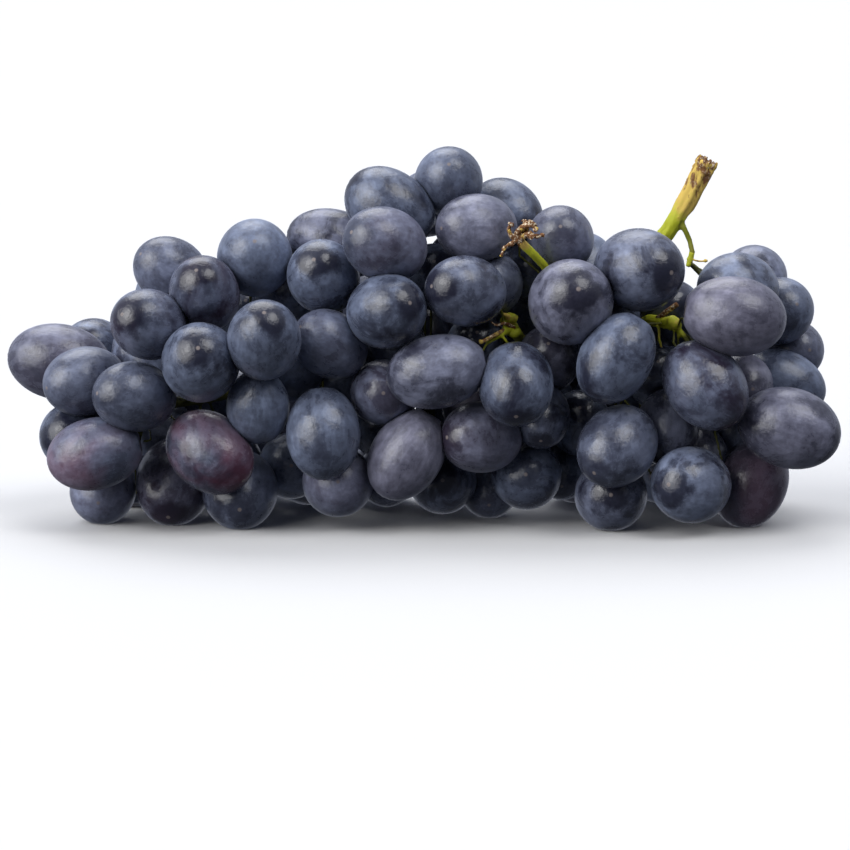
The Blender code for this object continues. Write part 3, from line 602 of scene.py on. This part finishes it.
def spreadTree():
    tree = bpy.data.node_groups.new("spread", "GeometryNodeTree")
    face = tree.interface
    face.new_socket("Geometry", in_out="INPUT", socket_type="NodeSocketGeometry")
    face.new_socket("Form", in_out="INPUT", socket_type="NodeSocketObject")
    face.new_socket("Swell", in_out="INPUT", socket_type="NodeSocketFloat")
    face.new_socket("Skin", in_out="INPUT", socket_type="NodeSocketMaterial")
    face.new_socket("Geometry", in_out="OUTPUT", socket_type="NodeSocketGeometry")
    start = tree.nodes.new("NodeGroupInput")
    end = tree.nodes.new("NodeGroupOutput")
    form = tree.nodes.new("GeometryNodeObjectInfo")
    tree.links.new(start.outputs["Form"], form.inputs["Object"])
    place = tree.nodes.new("GeometryNodeInputPosition")
    keep = tree.nodes.new("GeometryNodeStoreNamedAttribute")
    keep.data_type = "FLOAT_VECTOR"
    keep.inputs["Name"].default_value = "local"
    tree.links.new(form.outputs["Geometry"], keep.inputs["Geometry"])
    tree.links.new(place.outputs[0], keep.inputs["Value"])
    size = tree.nodes.new("GeometryNodeInputNamedAttribute")
    size.data_type = "FLOAT_VECTOR"
    size.inputs["Name"].default_value = "size"
    grown = tree.nodes.new("ShaderNodeVectorMath")
    tree.links.new(size.outputs["Attribute"], grown.inputs[0])
    tree.links.new(start.outputs["Swell"], grown.inputs[1])
    turn = tree.nodes.new("GeometryNodeInputNamedAttribute")
    turn.data_type = "FLOAT_VECTOR"
    turn.inputs["Name"].default_value = "turn"
    put = tree.nodes.new("GeometryNodeInstanceOnPoints")
    tree.links.new(start.outputs["Geometry"], put.inputs["Points"])
    tree.links.new(keep.outputs["Geometry"], put.inputs["Instance"])
    tree.links.new(turn.outputs["Attribute"], put.inputs["Rotation"])
    tree.links.new(grown.outputs[0], put.inputs["Scale"])
    real = tree.nodes.new("GeometryNodeRealizeInstances")
    tree.links.new(put.outputs[0], real.inputs[0])
    paint = tree.nodes.new("GeometryNodeSetMaterial")
    tree.links.new(real.outputs[0], paint.inputs["Geometry"])
    tree.links.new(start.outputs["Skin"], paint.inputs["Material"])
    tree.links.new(paint.outputs[0], end.inputs[0])
    return tree


spread = spreadTree()


def inputName(tree, name):
    return next(item.identifier for item in tree.interface.items_tree
                if item.name == name and item.in_out == "INPUT")


def plainMesh(item, name):
    bpy.context.view_layer.update()
    graph = bpy.context.evaluated_depsgraph_get()
    mesh = bpy.data.meshes.new_from_object(item.evaluated_get(graph), depsgraph=graph)
    mesh.name = name
    item.modifiers.clear()
    return mesh


def spreadOver(seeds, formMesh, swell, material, name):
    # the form at each seed point, with the seed's own turn and size, as one plain mesh
    form = bpy.data.objects.new("form", formMesh)
    holder = bpy.data.objects.new("holder", seeds)
    bpy.context.scene.collection.objects.link(form)
    bpy.context.scene.collection.objects.link(holder)
    grow = holder.modifiers.new("spread", "NODES")
    grow.node_group = spread
    grow[inputName(spread, "Form")] = form
    grow[inputName(spread, "Swell")] = swell
    grow[inputName(spread, "Skin")] = material
    mesh = plainMesh(holder, name)
    bpy.data.objects.remove(holder)
    bpy.data.objects.remove(form)
    mesh.shade_smooth()
    piece = bpy.data.objects.new(name, mesh)
    bpy.context.scene.collection.objects.link(piece)
    return piece


def addAttribute(mesh, name, kind, values):
    field = "vector" if kind == "FLOAT_VECTOR" else "value"
    data = mesh.attributes.new(name, kind, "POINT").data
    data.foreach_set(field, np.asarray(values, dtype=np.float32).ravel())


# Berries with a look of their own: spray and number in it, then how waxy and how red.
specialLooks = {
    ("berries_tip", 0): (0.95, 0.1),
    ("berries_tip", 3): (0.90, 0.85),
    ("berries_tip_low", 1): (0.75, 1.0),
    ("berries_right_low", 3): (0.5, 0.6),
    ("berries_left", 1): (0.9, 0.15),
    ("berries_shoulder", 4): (1.0, 0.0),
    ("berries_shoulder", 5): (1.0, 0.0),
    ("berries_shoulder", 6): (1.0, 0.0),
}

# Berries that are rubbed dark all round the flower end.
rubbedEnds = {("berries_left", 0), ("berries_left", 5), ("berries_tip_low", 1),
              ("berries_middle", 1), ("berries_right", 0), ("berries_right", 3),
              ("berries_right_low", 2), ("berries_shoulder", 1), ("berries_crest", 5),
              ("berries_crown", 3), ("berries_left", 3)}


def pressFlat(mesh, members, shapes):
    # makes each berry a little uneven, then moves skin that would run into a neighbour or the
    # surface back to where they meet
    count = len(mesh.vertices)
    points = np.empty(count * 3, np.float32)
    mesh.vertices.foreach_get("co", points)
    points = points.reshape(-1, 3).astype(float)
    each = count // len(members)
    centres = np.array([berry["centre"] for berry in berries])
    for order, index in enumerate(members):
        own = points[order * each:(order + 1) * each]
        draw = random.Random(1000 + index)
        wave = np.zeros(each)
        for _ in range(4):
            way = np.array([draw.gauss(0, 1) for _ in range(3)])
            way *= draw.uniform(120, 330) / np.linalg.norm(way)
            wave += np.sin((own - centres[index]) @ way + draw.uniform(0, 6.28))
        outward = own - centres[index]
        outward /= np.linalg.norm(outward, axis=1, keepdims=True)
        own += outward * (wave * berryShape["unevenness"] / 2)[:, None]
        others = np.array([other for other in range(len(berries)) if other != index
                           and np.linalg.norm(centres[other] - centres[index]) < lie["reach"]])
        facing, gaps = pairGaps(centres, shapes, np.full(len(others), index), others)
        for way, gap in zip(facing, gaps):
            if gap > 0.8 * mm:
                continue
            reach = math.sqrt(way @ shapes[index] @ way) + gap / 2 - 0.01 * mm
            over = (own - centres[index]) @ way - reach
            own -= np.clip(over, 0, None)[:, None] * way
        own[:, 2] = np.maximum(own[:, 2], 0.0)
    mesh.vertices.foreach_set("co", points.ravel().astype(np.float32))
    mesh.update()


def makeSprays(material):
    form = makeBerryShape()
    shapes = np.array([shapeMatrix(berry) for berry in berries])
    draw = random.Random(skinLook["seed"])
    for spray in sorted({berry["spray"] for berry in berries}):
        members = [index for index, berry in enumerate(berries) if berry["spray"] == spray]
        seeds = bpy.data.meshes.new(spray + "_seeds")
        seeds.from_pydata([tuple(berries[index]["centre"]) for index in members], [], [])
        turns, sizes, waxes, blushes, rubbings, warmths = [], [], [], [], [], []
        for order, index in enumerate(members):
            berry = berries[index]
            turn = Vector((0, 0, 1)).rotation_difference(Vector(berry["axis"]))
            spin = Euler((0, 0, draw.uniform(0, 6.28))).to_quaternion()
            turns.append(tuple((turn @ spin).to_euler()))
            sizes.append((berry["halfWide"], berry["halfWide"], berry["halfLong"]))
            wax = draw.uniform(*skinLook["waxes"])
            blush = max(0.0, draw.uniform(*skinLook["blushes"]))
            wax, blush = specialLooks.get((spray, order), (wax, blush))
            waxes.append(wax)
            blushes.append(blush)
            rubbing = draw.choice(skinLook["rubbings"])
            rubbings.append(1.0 if (spray, order) in rubbedEnds else rubbing)
            warmths.append(draw.random() ** 3)
        addAttribute(seeds, "turn", "FLOAT_VECTOR", turns)
        addAttribute(seeds, "size", "FLOAT_VECTOR", sizes)
        addAttribute(seeds, "wax", "FLOAT", waxes)
        addAttribute(seeds, "blush", "FLOAT", blushes)
        addAttribute(seeds, "rubbing", "FLOAT", rubbings)
        addAttribute(seeds, "warmth", "FLOAT", warmths)
        piece = spreadOver(seeds, form, berryShape["swell"], material, spray + "_skin")
        pressFlat(piece.data, members, shapes)
        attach(piece, "root")
        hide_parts(spray)
    print("berries made")


# The stalk: the solid's own form, rounded off, ribbed and given its joint, rough cut end, dried
# remains and fine strands.
stalkLook = {
    "voxel": 0.40 * mm,
    "green": (0.50, 0.53, 0.030, 1.0),
    "ochre": (0.68, 0.48, 0.110, 1.0),
    "brown": (0.190, 0.085, 0.034, 1.0),
    # painted shade: the near black that stalk deep in the bunch is darkened towards
    "deep": (0.030, 0.030, 0.012, 1.0),
    "openTo": 9 * mm,                # how far round the open places the stems keep their own colour before painted shade darkens them
    "bareAbove": 66 * mm,            # the peduncle is clear of the berries above this height
    "straw": (0.78, 0.66, 0.48, 1.0),
    "ribs": 9,
    "ribHeight": 0.09 * mm,
    "unevenness": 0.16 * mm,
    "joint": (68.3, 84.2, 2.0),      # the swelling that the side twig leaves from
    "jointSwell": 0.40 * mm,
    "strandSides": 8,
    "fibres": 22,                    # ragged fibres round the cut end
    "crumbs": 34,                    # crumbs of the dried flower stem
}

# Fine strands: rows of across, up, depth and radius (mm), then how dry each is (0 to 1.6).
strandRows = {
    "offshoot": (((69.4, 69.9, 0, 0.30), (71.0, 69.2, -0.5, 0.26), (72.6, 69.1, -0.5, 0.24),
                  (73.3, 69.2, -0.5, 0.52), (73.9, 69.2, -0.5, 0.30)), 0.75),
    "twigEnd": (((69.9, 71.5, 0, 0.80), (69.3, 69.4, 0, 0.95), (68.7, 67.6, -0.4, 0.60)), 0.25),
    "driedOne": (((25.3, 74.0, -33, 1.15), (24.4, 76.0, -33.5, 0.9), (25.6, 77.9, -34.5, 0.75),
                  (27.9, 78.3, -35, 0.55), (29.8, 77.2, -35, 0.35)), 1.25),
    "driedTwo": (((25.0, 74.3, -33, 1.0), (22.9, 75.7, -34, 0.7), (22.2, 77.6, -34, 0.5),
                  (23.4, 79.0, -34.5, 0.35)), 1.35),
    "driedThree": (((25.4, 75.0, -33, 0.9), (27.4, 76.2, -35, 0.7), (29.6, 75.4, -35.5, 0.5),
                    (31.4, 76.2, -35.5, 0.35)), 1.15),
    "driedFour": (((24.6, 74.6, -33.5, 0.7), (22.4, 73.6, -34.5, 0.45), (21.0, 72.2, -35, 0.40),
                   (20.2, 70.4, -35, 0.34)), 1.45),
    "driedFive": (((25.2, 75.2, -33, 0.8), (26.6, 77.4, -33, 0.5), (26.2, 79.4, -33, 0.3)), 1.3),
    "nodeTip": (((22.8, 51.9, -21, 0.9), (19.6, 50.4, -27.5, 0.62), (16.8, 48.9, -31, 0.55),
                 (14.6, 48.0, -33, 0.62)), 1.05),
    "nodeKnobOne": (((20.6, 53.4, -21, 1.2), (22.4, 54.4, -22.5, 1.6), (24.4, 53.8, -22.5, 1.1)),
                    0.30),
    "nodeKnobTwo": (((21.6, 51.0, -22, 1.1), (23.6, 50.2, -23.5, 1.4), (25.2, 51.0, -23, 0.9)),
                    0.15),
    "nodeScale": (((23.2, 52.6, -21, 1.3), (22.0, 54.6, -23.5, 0.8), (20.8, 55.4, -24.5, 0.4)),
                  0.55),
    "nodeCurl": (((23.6, 51.6, -22, 0.8), (21.2, 52.9, -25.5, 0.4), (19.0, 52.4, -26.5, 0.32),
                  (17.6, 53.3, -27, 0.26)), 1.3),
    "rightBrown": (((59.0, 53.4, -16, 0.9), (61.2, 54.4, -18.5, 0.75), (63.8, 56.4, -20, 0.70),
                    (66.2, 58.0, -20.5, 0.75)), 1.2),
    "rightPale": (((60.5, 53.4, -18, 0.6), (61.2, 51.2, -20.5, 0.38), (61.3, 48.8, -21.5, 0.34),
                   (61.9, 46.6, -21.5, 0.30)), 0.5),
    "rightKnob": (((62.4, 53.0, -20, 1.5), (64.6, 53.0, -22.5, 2.1), (66.6, 52.6, -23.5, 1.5)),
                  0.35),
}


def makeStalkMaterial():
    material, shader = newMaterial("stalkSkin")
    tree = material.node_tree
    place = addNode(tree, "ShaderNodeTexCoord").outputs["Object"]
    dry = attribute(tree, "dry").outputs["Fac"]
    grain = addNode(tree, "ShaderNodeMapping")     # long streaks, up the leaning stem
    grain.inputs["Rotation"].default_value = (0.0, math.radians(-26), 0.0)
    grain.inputs["Scale"].default_value = (1.0, 1.0, 0.22)
    feed(tree, grain.inputs["Vector"], place)
    streak = noiseValue(tree, grain.outputs[0], 900.0, 4.0, 0.65)
    cloud = noiseValue(tree, place, 330.0, 4.0, 0.6)
    fleck = noiseValue(tree, place, 1500.0, 3.0, 0.6)
    level = maths(tree, "ADD", dry, maths(tree, "MULTIPLY_ADD", cloud, 1.0, -0.5))
    toOchre = smoothRange(tree, level, 0.25, 0.75)
    rough = maths(tree, "ADD", level, maths(tree, "MULTIPLY_ADD", streak, 1.7, -0.85))
    toBrown = smoothRange(tree, rough, 0.80, 1.10)
    toStraw = maths(tree, "MULTIPLY", smoothRange(tree, fleck, 0.52, 0.62),
                    smoothRange(tree, level, 0.85, 1.3))
    colour = blendColour(tree, toOchre, stalkLook["green"], stalkLook["ochre"])
    colour = blendColour(tree, toBrown, colour, stalkLook["brown"])
    colour = blendColour(tree, toStraw, colour, stalkLook["straw"])
    # painted shade: stalk deep in the bunch and the pedicels are darkened towards near black
    colour = blendColour(tree, attribute(tree, "deep").outputs["Fac"], colour, stalkLook["deep"])
    feed(tree, shader.inputs["Base Color"], colour)
    feed(tree, shader.inputs["Roughness"], smoothRange(tree, level, 0.0, 1.0, 0.42, 0.85))
    bump = addNode(tree, "ShaderNodeBump")
    bump.inputs["Strength"].default_value = 0.6
    bump.inputs["Distance"].default_value = 0.25 * mm
    feed(tree, bump.inputs["Height"], maths(tree, "ADD", streak, maths(tree, "MULTIPLY", cloud,
                                                                      0.6)))
    feed(tree, shader.inputs["Normal"], bump.outputs[0])
    shader.inputs["Specular IOR Level"].default_value = 0.25
    return material


def smoothLine(points, radii, steps=6):
    # points on a smooth line through the given ones
    points = np.asarray(points, float)
    ends = np.vstack((2 * points[0] - points[1], points, 2 * points[-1] - points[-2]))
    line, wide = [], []
    for spot in range(len(points) - 1):
        before, start, end, after = ends[spot:spot + 4]
        for step in range(steps):
            t = step / steps
            line.append(0.5 * (2 * start + (end - before) * t
                               + (2 * before - 5 * start + 4 * end - after) * t ** 2
                               + (3 * start - before - 3 * end + after) * t ** 3))
            wide.append(radii[spot] + (radii[spot + 1] - radii[spot]) * t)
    line.append(points[-1])
    wide.append(radii[-1])
    return np.array(line), np.array(wide)


def addTube(shape, dryLayer, line, wide, dryness, draw):
    sides = stalkLook["strandSides"]
    rings = []
    across = Vector((0.31, 0.87, 0.38))
    for spot, place in enumerate(line):
        ahead = Vector(line[min(spot + 1, len(line) - 1)] - line[max(spot - 1, 0)]).normalized()
        across = (across - ahead * across.dot(ahead)).normalized()
        other = ahead.cross(across)
        ring = []
        for side in range(sides):
            turn = 2 * math.pi * side / sides
            reach = wide[spot] * draw.uniform(0.82, 1.18)
            vert = shape.verts.new(Vector(place) + (across * math.cos(turn)
                                                    + other * math.sin(turn)) * reach)
            vert[dryLayer] = dryness + draw.uniform(-0.1, 0.1)
            ring.append(vert)
        rings.append(ring)
    for near, far in zip(rings[:-1], rings[1:]):
        for side in range(sides):
            follow = (side + 1) % sides
            shape.faces.new((near[side], near[follow], far[follow], far[side]))
    shape.faces.new(rings[0][::-1])
    shape.faces.new(rings[-1])


def makeStrands(material):
    draw = random.Random(5)
    shape = bmesh.new()
    dryLayer = shape.verts.layers.float.new("dry")
    for rows, dryness in strandRows.values():
        line, wide = smoothLine(linePoints(rows) + shift, [row[3] * mm for row in rows])
        addTube(shape, dryLayer, line, wide, dryness, draw)

    # ragged fibres round the cut end
    top, below = stems["peduncle"][0][:2]
    radius = stems["peduncle"][1][0]
    ahead = Vector(top - below).normalized()
    across = ahead.cross(Vector((0, 1, 0))).normalized()
    other = ahead.cross(across)
    for fibre in range(stalkLook["fibres"]):
        turn = 2 * math.pi * (fibre + draw.uniform(-0.3, 0.3)) / stalkLook["fibres"]
        out = across * math.cos(turn) + other * math.sin(turn)
        reach = radius * draw.choice((0.80, 0.72, 0.35))
        root = Vector(top) + out * reach - ahead * 1.5 * mm
        tip = root + ahead * draw.uniform(1.5, 2.7) * mm + out * draw.uniform(-0.3, 0.3) * mm
        middle = (root + tip) / 2 + out * draw.uniform(-0.1, 0.2) * mm
        line, wide = smoothLine([root, middle, tip], [0.60 * mm, 0.55 * mm, 0.32 * mm], 3)
        addTube(shape, dryLayer, line, wide, draw.uniform(0.8, 1.6), draw)

    bmesh.ops.recalc_face_normals(shape, faces=shape.faces)
    mesh = bpy.data.meshes.new("stalk_strands")
    shape.to_mesh(mesh)
    shape.free()
    mesh.materials.append(material)
    mesh.shade_smooth()
    piece = bpy.data.objects.new("stalk_strands", mesh)
    bpy.context.scene.collection.objects.link(piece)
    finer = piece.modifiers.new("finer", "SUBSURF")
    finer.levels = finer.render_levels = 1
    piece.data = plainMesh(piece, "stalk_strands")
    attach(piece, "root")
    print("strands made:", len(piece.data.polygons), "faces")


def makeCrumbs(material):
    # crumbs of the dried flower stem, strewn along its strands
    draw = random.Random(11)
    places, turns, sizes = [], [], []
    dried = [rows for name, (rows, _) in strandRows.items() if name.startswith("dried")]
    for _ in range(stalkLook["crumbs"]):
        rows = draw.choice(dried)
        line, wide = smoothLine(linePoints(rows) + shift, [row[3] * mm for row in rows])
        spot = draw.randrange(3, len(line))
        jitter = np.array([draw.uniform(-1, 1) for _ in range(3)]) * wide[spot]
        places.append(tuple(line[spot] + jitter))
        turns.append(tuple(draw.uniform(0, 6.28) for _ in range(3)))
        size = draw.uniform(0.35, 0.85) * mm
        sizes.append((size, size * draw.uniform(0.5, 0.9), size * draw.uniform(0.7, 1.6)))
    seeds = bpy.data.meshes.new("crumb_seeds")
    seeds.from_pydata(places, [], [])
    addAttribute(seeds, "turn", "FLOAT_VECTOR", turns)
    addAttribute(seeds, "size", "FLOAT_VECTOR", sizes)
    addAttribute(seeds, "dry", "FLOAT", [draw.uniform(0.9, 1.7) for _ in places])
    lump = bmesh.new()
    bmesh.ops.create_icosphere(lump, subdivisions=3, radius=1.0)
    for vert in lump.verts:
        vert.co *= 1 + 0.45 * noise.noise(vert.co * 1.7) + 0.2 * noise.noise(vert.co * 5.0)
    lumpMesh = bpy.data.meshes.new("lump")
    lump.to_mesh(lumpMesh)
    lump.free()
    piece = spreadOver(seeds, lumpMesh, 0.0, material, "stalk_crumbs")
    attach(piece, "root")
    print("crumbs made:", len(places))


def feetOn(line, points):
    # for each point, its nearest place on the line and how far off that is
    shares, apart = nearestFeet(line[:-1], line[1:] - line[:-1], points)
    off = np.linalg.norm(apart, axis=2)
    nearest = np.argmin(off, axis=1)
    every = np.arange(len(points))
    return points - apart[every, nearest], off[every, nearest]


def makeStalk(material):
    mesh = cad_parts["stalk"].data.copy()
    mesh.name = "stalk_bark"
    piece = bpy.data.objects.new("stalk_bark", mesh)
    bpy.context.scene.collection.objects.link(piece)
    shape = bmesh.new()
    shape.from_mesh(mesh)
    bmesh.ops.remove_doubles(shape, verts=shape.verts, dist=0.001 * mm)
    shape.to_mesh(mesh)
    shape.free()
    remesh = piece.modifiers.new("remesh", "REMESH")
    remesh.mode = "VOXEL"
    remesh.voxel_size = stalkLook["voxel"]
    smooth = piece.modifiers.new("smooth", "SMOOTH")
    smooth.iterations = 5
    smooth.factor = 0.5
    fine = plainMesh(piece, "stalk_bark")
    piece.data = fine
    fine.materials.clear()
    fine.materials.append(material)
    points = np.empty(len(fine.vertices) * 3, np.float32)
    fine.vertices.foreach_get("co", points)
    points = points.reshape(-1, 3).astype(float)

    # ribs and unevenness on the bare part of the peduncle, and its joint
    line, radii = stems["peduncle"]
    joint = linePoints([stalkLook["joint"]])[0] + shift
    dry = np.full(len(points), 0.22)
    foot, off = feetOn(line, points)
    near = (points[:, 2] > stalkLook["bareAbove"]) & (off < 4.6 * mm) & (off > 0.2 * mm)
    for index in np.nonzero(near)[0]:
        point = points[index].copy()
        out = (point - foot[index]) / off[index]
        down = np.linalg.norm(point - line[0])
        wave = math.sin(stalkLook["ribs"] * math.atan2(out[1], out[0])
                        + 2.5 * math.sin(down / (6 * mm)))
        rough = noise.noise(Vector(point) * 420) + 0.5 * noise.noise(Vector(point) * 1100)
        change = stalkLook["ribHeight"] * wave + stalkLook["unevenness"] * rough
        toJoint = np.linalg.norm(point - joint) / (3.2 * mm)
        change += stalkLook["jointSwell"] * math.exp(-toJoint ** 2)
        if down < 4 * mm:
            change += 0.35 * mm * noise.noise(Vector(point) * 900)
        points[index] = point + out * change
        dry[index] = np.interp(down, (0, 2.5 * mm, 12 * mm, 15 * mm, 21 * mm),
                               (1.5, 0.95, 0.72, 0.55, 0.02))

    # how dry and how dark the rest is: the stub's end is dried, the side twig is olive, and what
    # is deep in the bunch, or a pedicel, is darkened with painted shade, as if the berries shaded
    # it
    toStubEnd = np.linalg.norm(points - stems["stub"][0][-1], axis=1)
    dry = np.where(toStubEnd < 8 * mm,
                   np.interp(toStubEnd, (0.6 * mm, 2.2 * mm, 4.5 * mm), (1.3, 0.6, 0.05)), dry)
    openPlaces = linePoints(((22, 52, -21, 0), (61, 53, -16, 0), (29, 71, -30, 0))) + shift
    toOpen = np.min([np.linalg.norm(points - place, axis=1) for place in openPlaces], axis=0)
    deep = np.interp(toOpen, (stalkLook["openTo"], 1.5 * stalkLook["openTo"]), (0.0, 0.92))
    deep[points[:, 2] > stalkLook["bareAbove"]] = 0.0
    offStem = np.min([feetOn(line, points)[1] - radii.max() for line, radii in stems.values()],
                     axis=0)
    deep = np.maximum(deep, np.interp(offStem, (0.3 * mm, 1.2 * mm), (0.0, 0.85)))
    onTwig = (points[:, 2] > 62 * mm) & (feetOn(stems["peduncleTwig"][0], points)[1] < 1.4 * mm)
    dry[onTwig] = 0.35
    deep[onTwig] = np.maximum(deep[onTwig], 0.62)
    fine.vertices.foreach_set("co", points.ravel().astype(np.float32))
    fine.update()
    addAttribute(fine, "dry", "FLOAT", dry)
    addAttribute(fine, "deep", "FLOAT", deep)
    fine.shade_smooth()
    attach(piece, "root")
    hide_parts("stalk")
    print("stalk made:", len(fine.polygons), "faces")


# The stage: a white floor in a white room that is dimmer on the camera's side, with soft lamps far
# off: two at the upper left of the camera, one at its upper right and one above and behind.
stage = {
    "floor": (0.70, 0.70, 0.70, 1.0),
    "halfWidth": 12.0,
    "sky": (0.86, 0.92, 1.10, 1.0),
    "dimSide": 0.08,
    "brightSide": 0.50,
    "lamps": (((-0.80, -0.50, 0.40), 42, 20, 2.9),     # way to it, outer and inner half angle
              ((-0.72, -0.55, 0.52), 15, 11, 3.0),     # (degrees), and brightness
              ((0.44, -0.42, 0.80), 24, 12, 3.6),
              ((-0.12, 0.50, 0.86), 30, 12, 3.0)),
}


def makeStage():
    half = stage["halfWidth"]
    mesh = bpy.data.meshes.new("floor")
    mesh.from_pydata([(-half, -half, 0), (half, -half, 0), (half, half, 0), (-half, half, 0)],
                     [], [(0, 1, 2, 3)])
    floor = bpy.data.objects.new("floor", mesh)
    bpy.context.scene.collection.objects.link(floor)
    material, shader = newMaterial("floorWhite")
    shader.inputs["Base Color"].default_value = stage["floor"]
    shader.inputs["Roughness"].default_value = 0.75
    shader.inputs["Specular IOR Level"].default_value = 0.2
    mesh.materials.append(material)
    floor.visible_diffuse = floor.visible_glossy = False    # it throws no light up at the bunch

    world = bpy.data.worlds.new("studio")
    bpy.context.scene.world = world
    world.use_nodes = True
    tree = world.node_tree
    way = addNode(tree, "ShaderNodeTexCoord").outputs["Generated"]
    split = addNode(tree, "ShaderNodeSeparateXYZ")
    feed(tree, split.inputs[0], way)
    height = maths(tree, "MULTIPLY_ADD", split.outputs[1], 0.75, split.outputs[2])
    glow = smoothRange(tree, height, -0.25, 0.75, stage["dimSide"], stage["brightSide"])
    light = 0.0
    for toLamp, outer, inner, brightness in stage["lamps"]:
        near = addNode(tree, "ShaderNodeVectorMath", operation="DOT_PRODUCT")
        feed(tree, near.inputs[0], way)
        near.inputs[1].default_value = Vector(toLamp).normalized()
        lamp = smoothRange(tree, near.outputs["Value"], math.cos(math.radians(outer)),
                           math.cos(math.radians(inner)), 0.0, brightness)
        light = maths(tree, "ADD", light, lamp)
    feed(tree, tree.nodes["Background"].inputs["Strength"], maths(tree, "ADD", glow, light))
    tint = maths(tree, "DIVIDE", glow, maths(tree, "ADD", glow, light))
    feed(tree, tree.nodes["Background"].inputs["Color"],
         blendColour(tree, tint, (1.0, 1.0, 1.0, 1.0), stage["sky"]))
    bpy.context.scene.view_settings.view_transform = "Standard"    # so that white is white


def makeCamera():
    camera = bpy.data.cameras.new("camera")
    camera.sensor_width = picture["sensor"]
    camera.lens = picture["sensor"] * picture["distance"] / picture["widthShown"]
    camera.clip_start = 0.01
    item = bpy.data.objects.new("camera", camera)
    item.location = Vector(eye + shift)
    item.rotation_euler = Vector(forward).to_track_quat("-Z", "Y").to_euler()
    bpy.context.scene.collection.objects.link(item)
    bpy.context.scene.camera = item


makeSprays(makeSkin())
stalkSkin = makeStalkMaterial()
makeStalk(stalkSkin)
makeStrands(stalkSkin)
makeCrumbs(stalkSkin)
makeStage()
makeCamera()
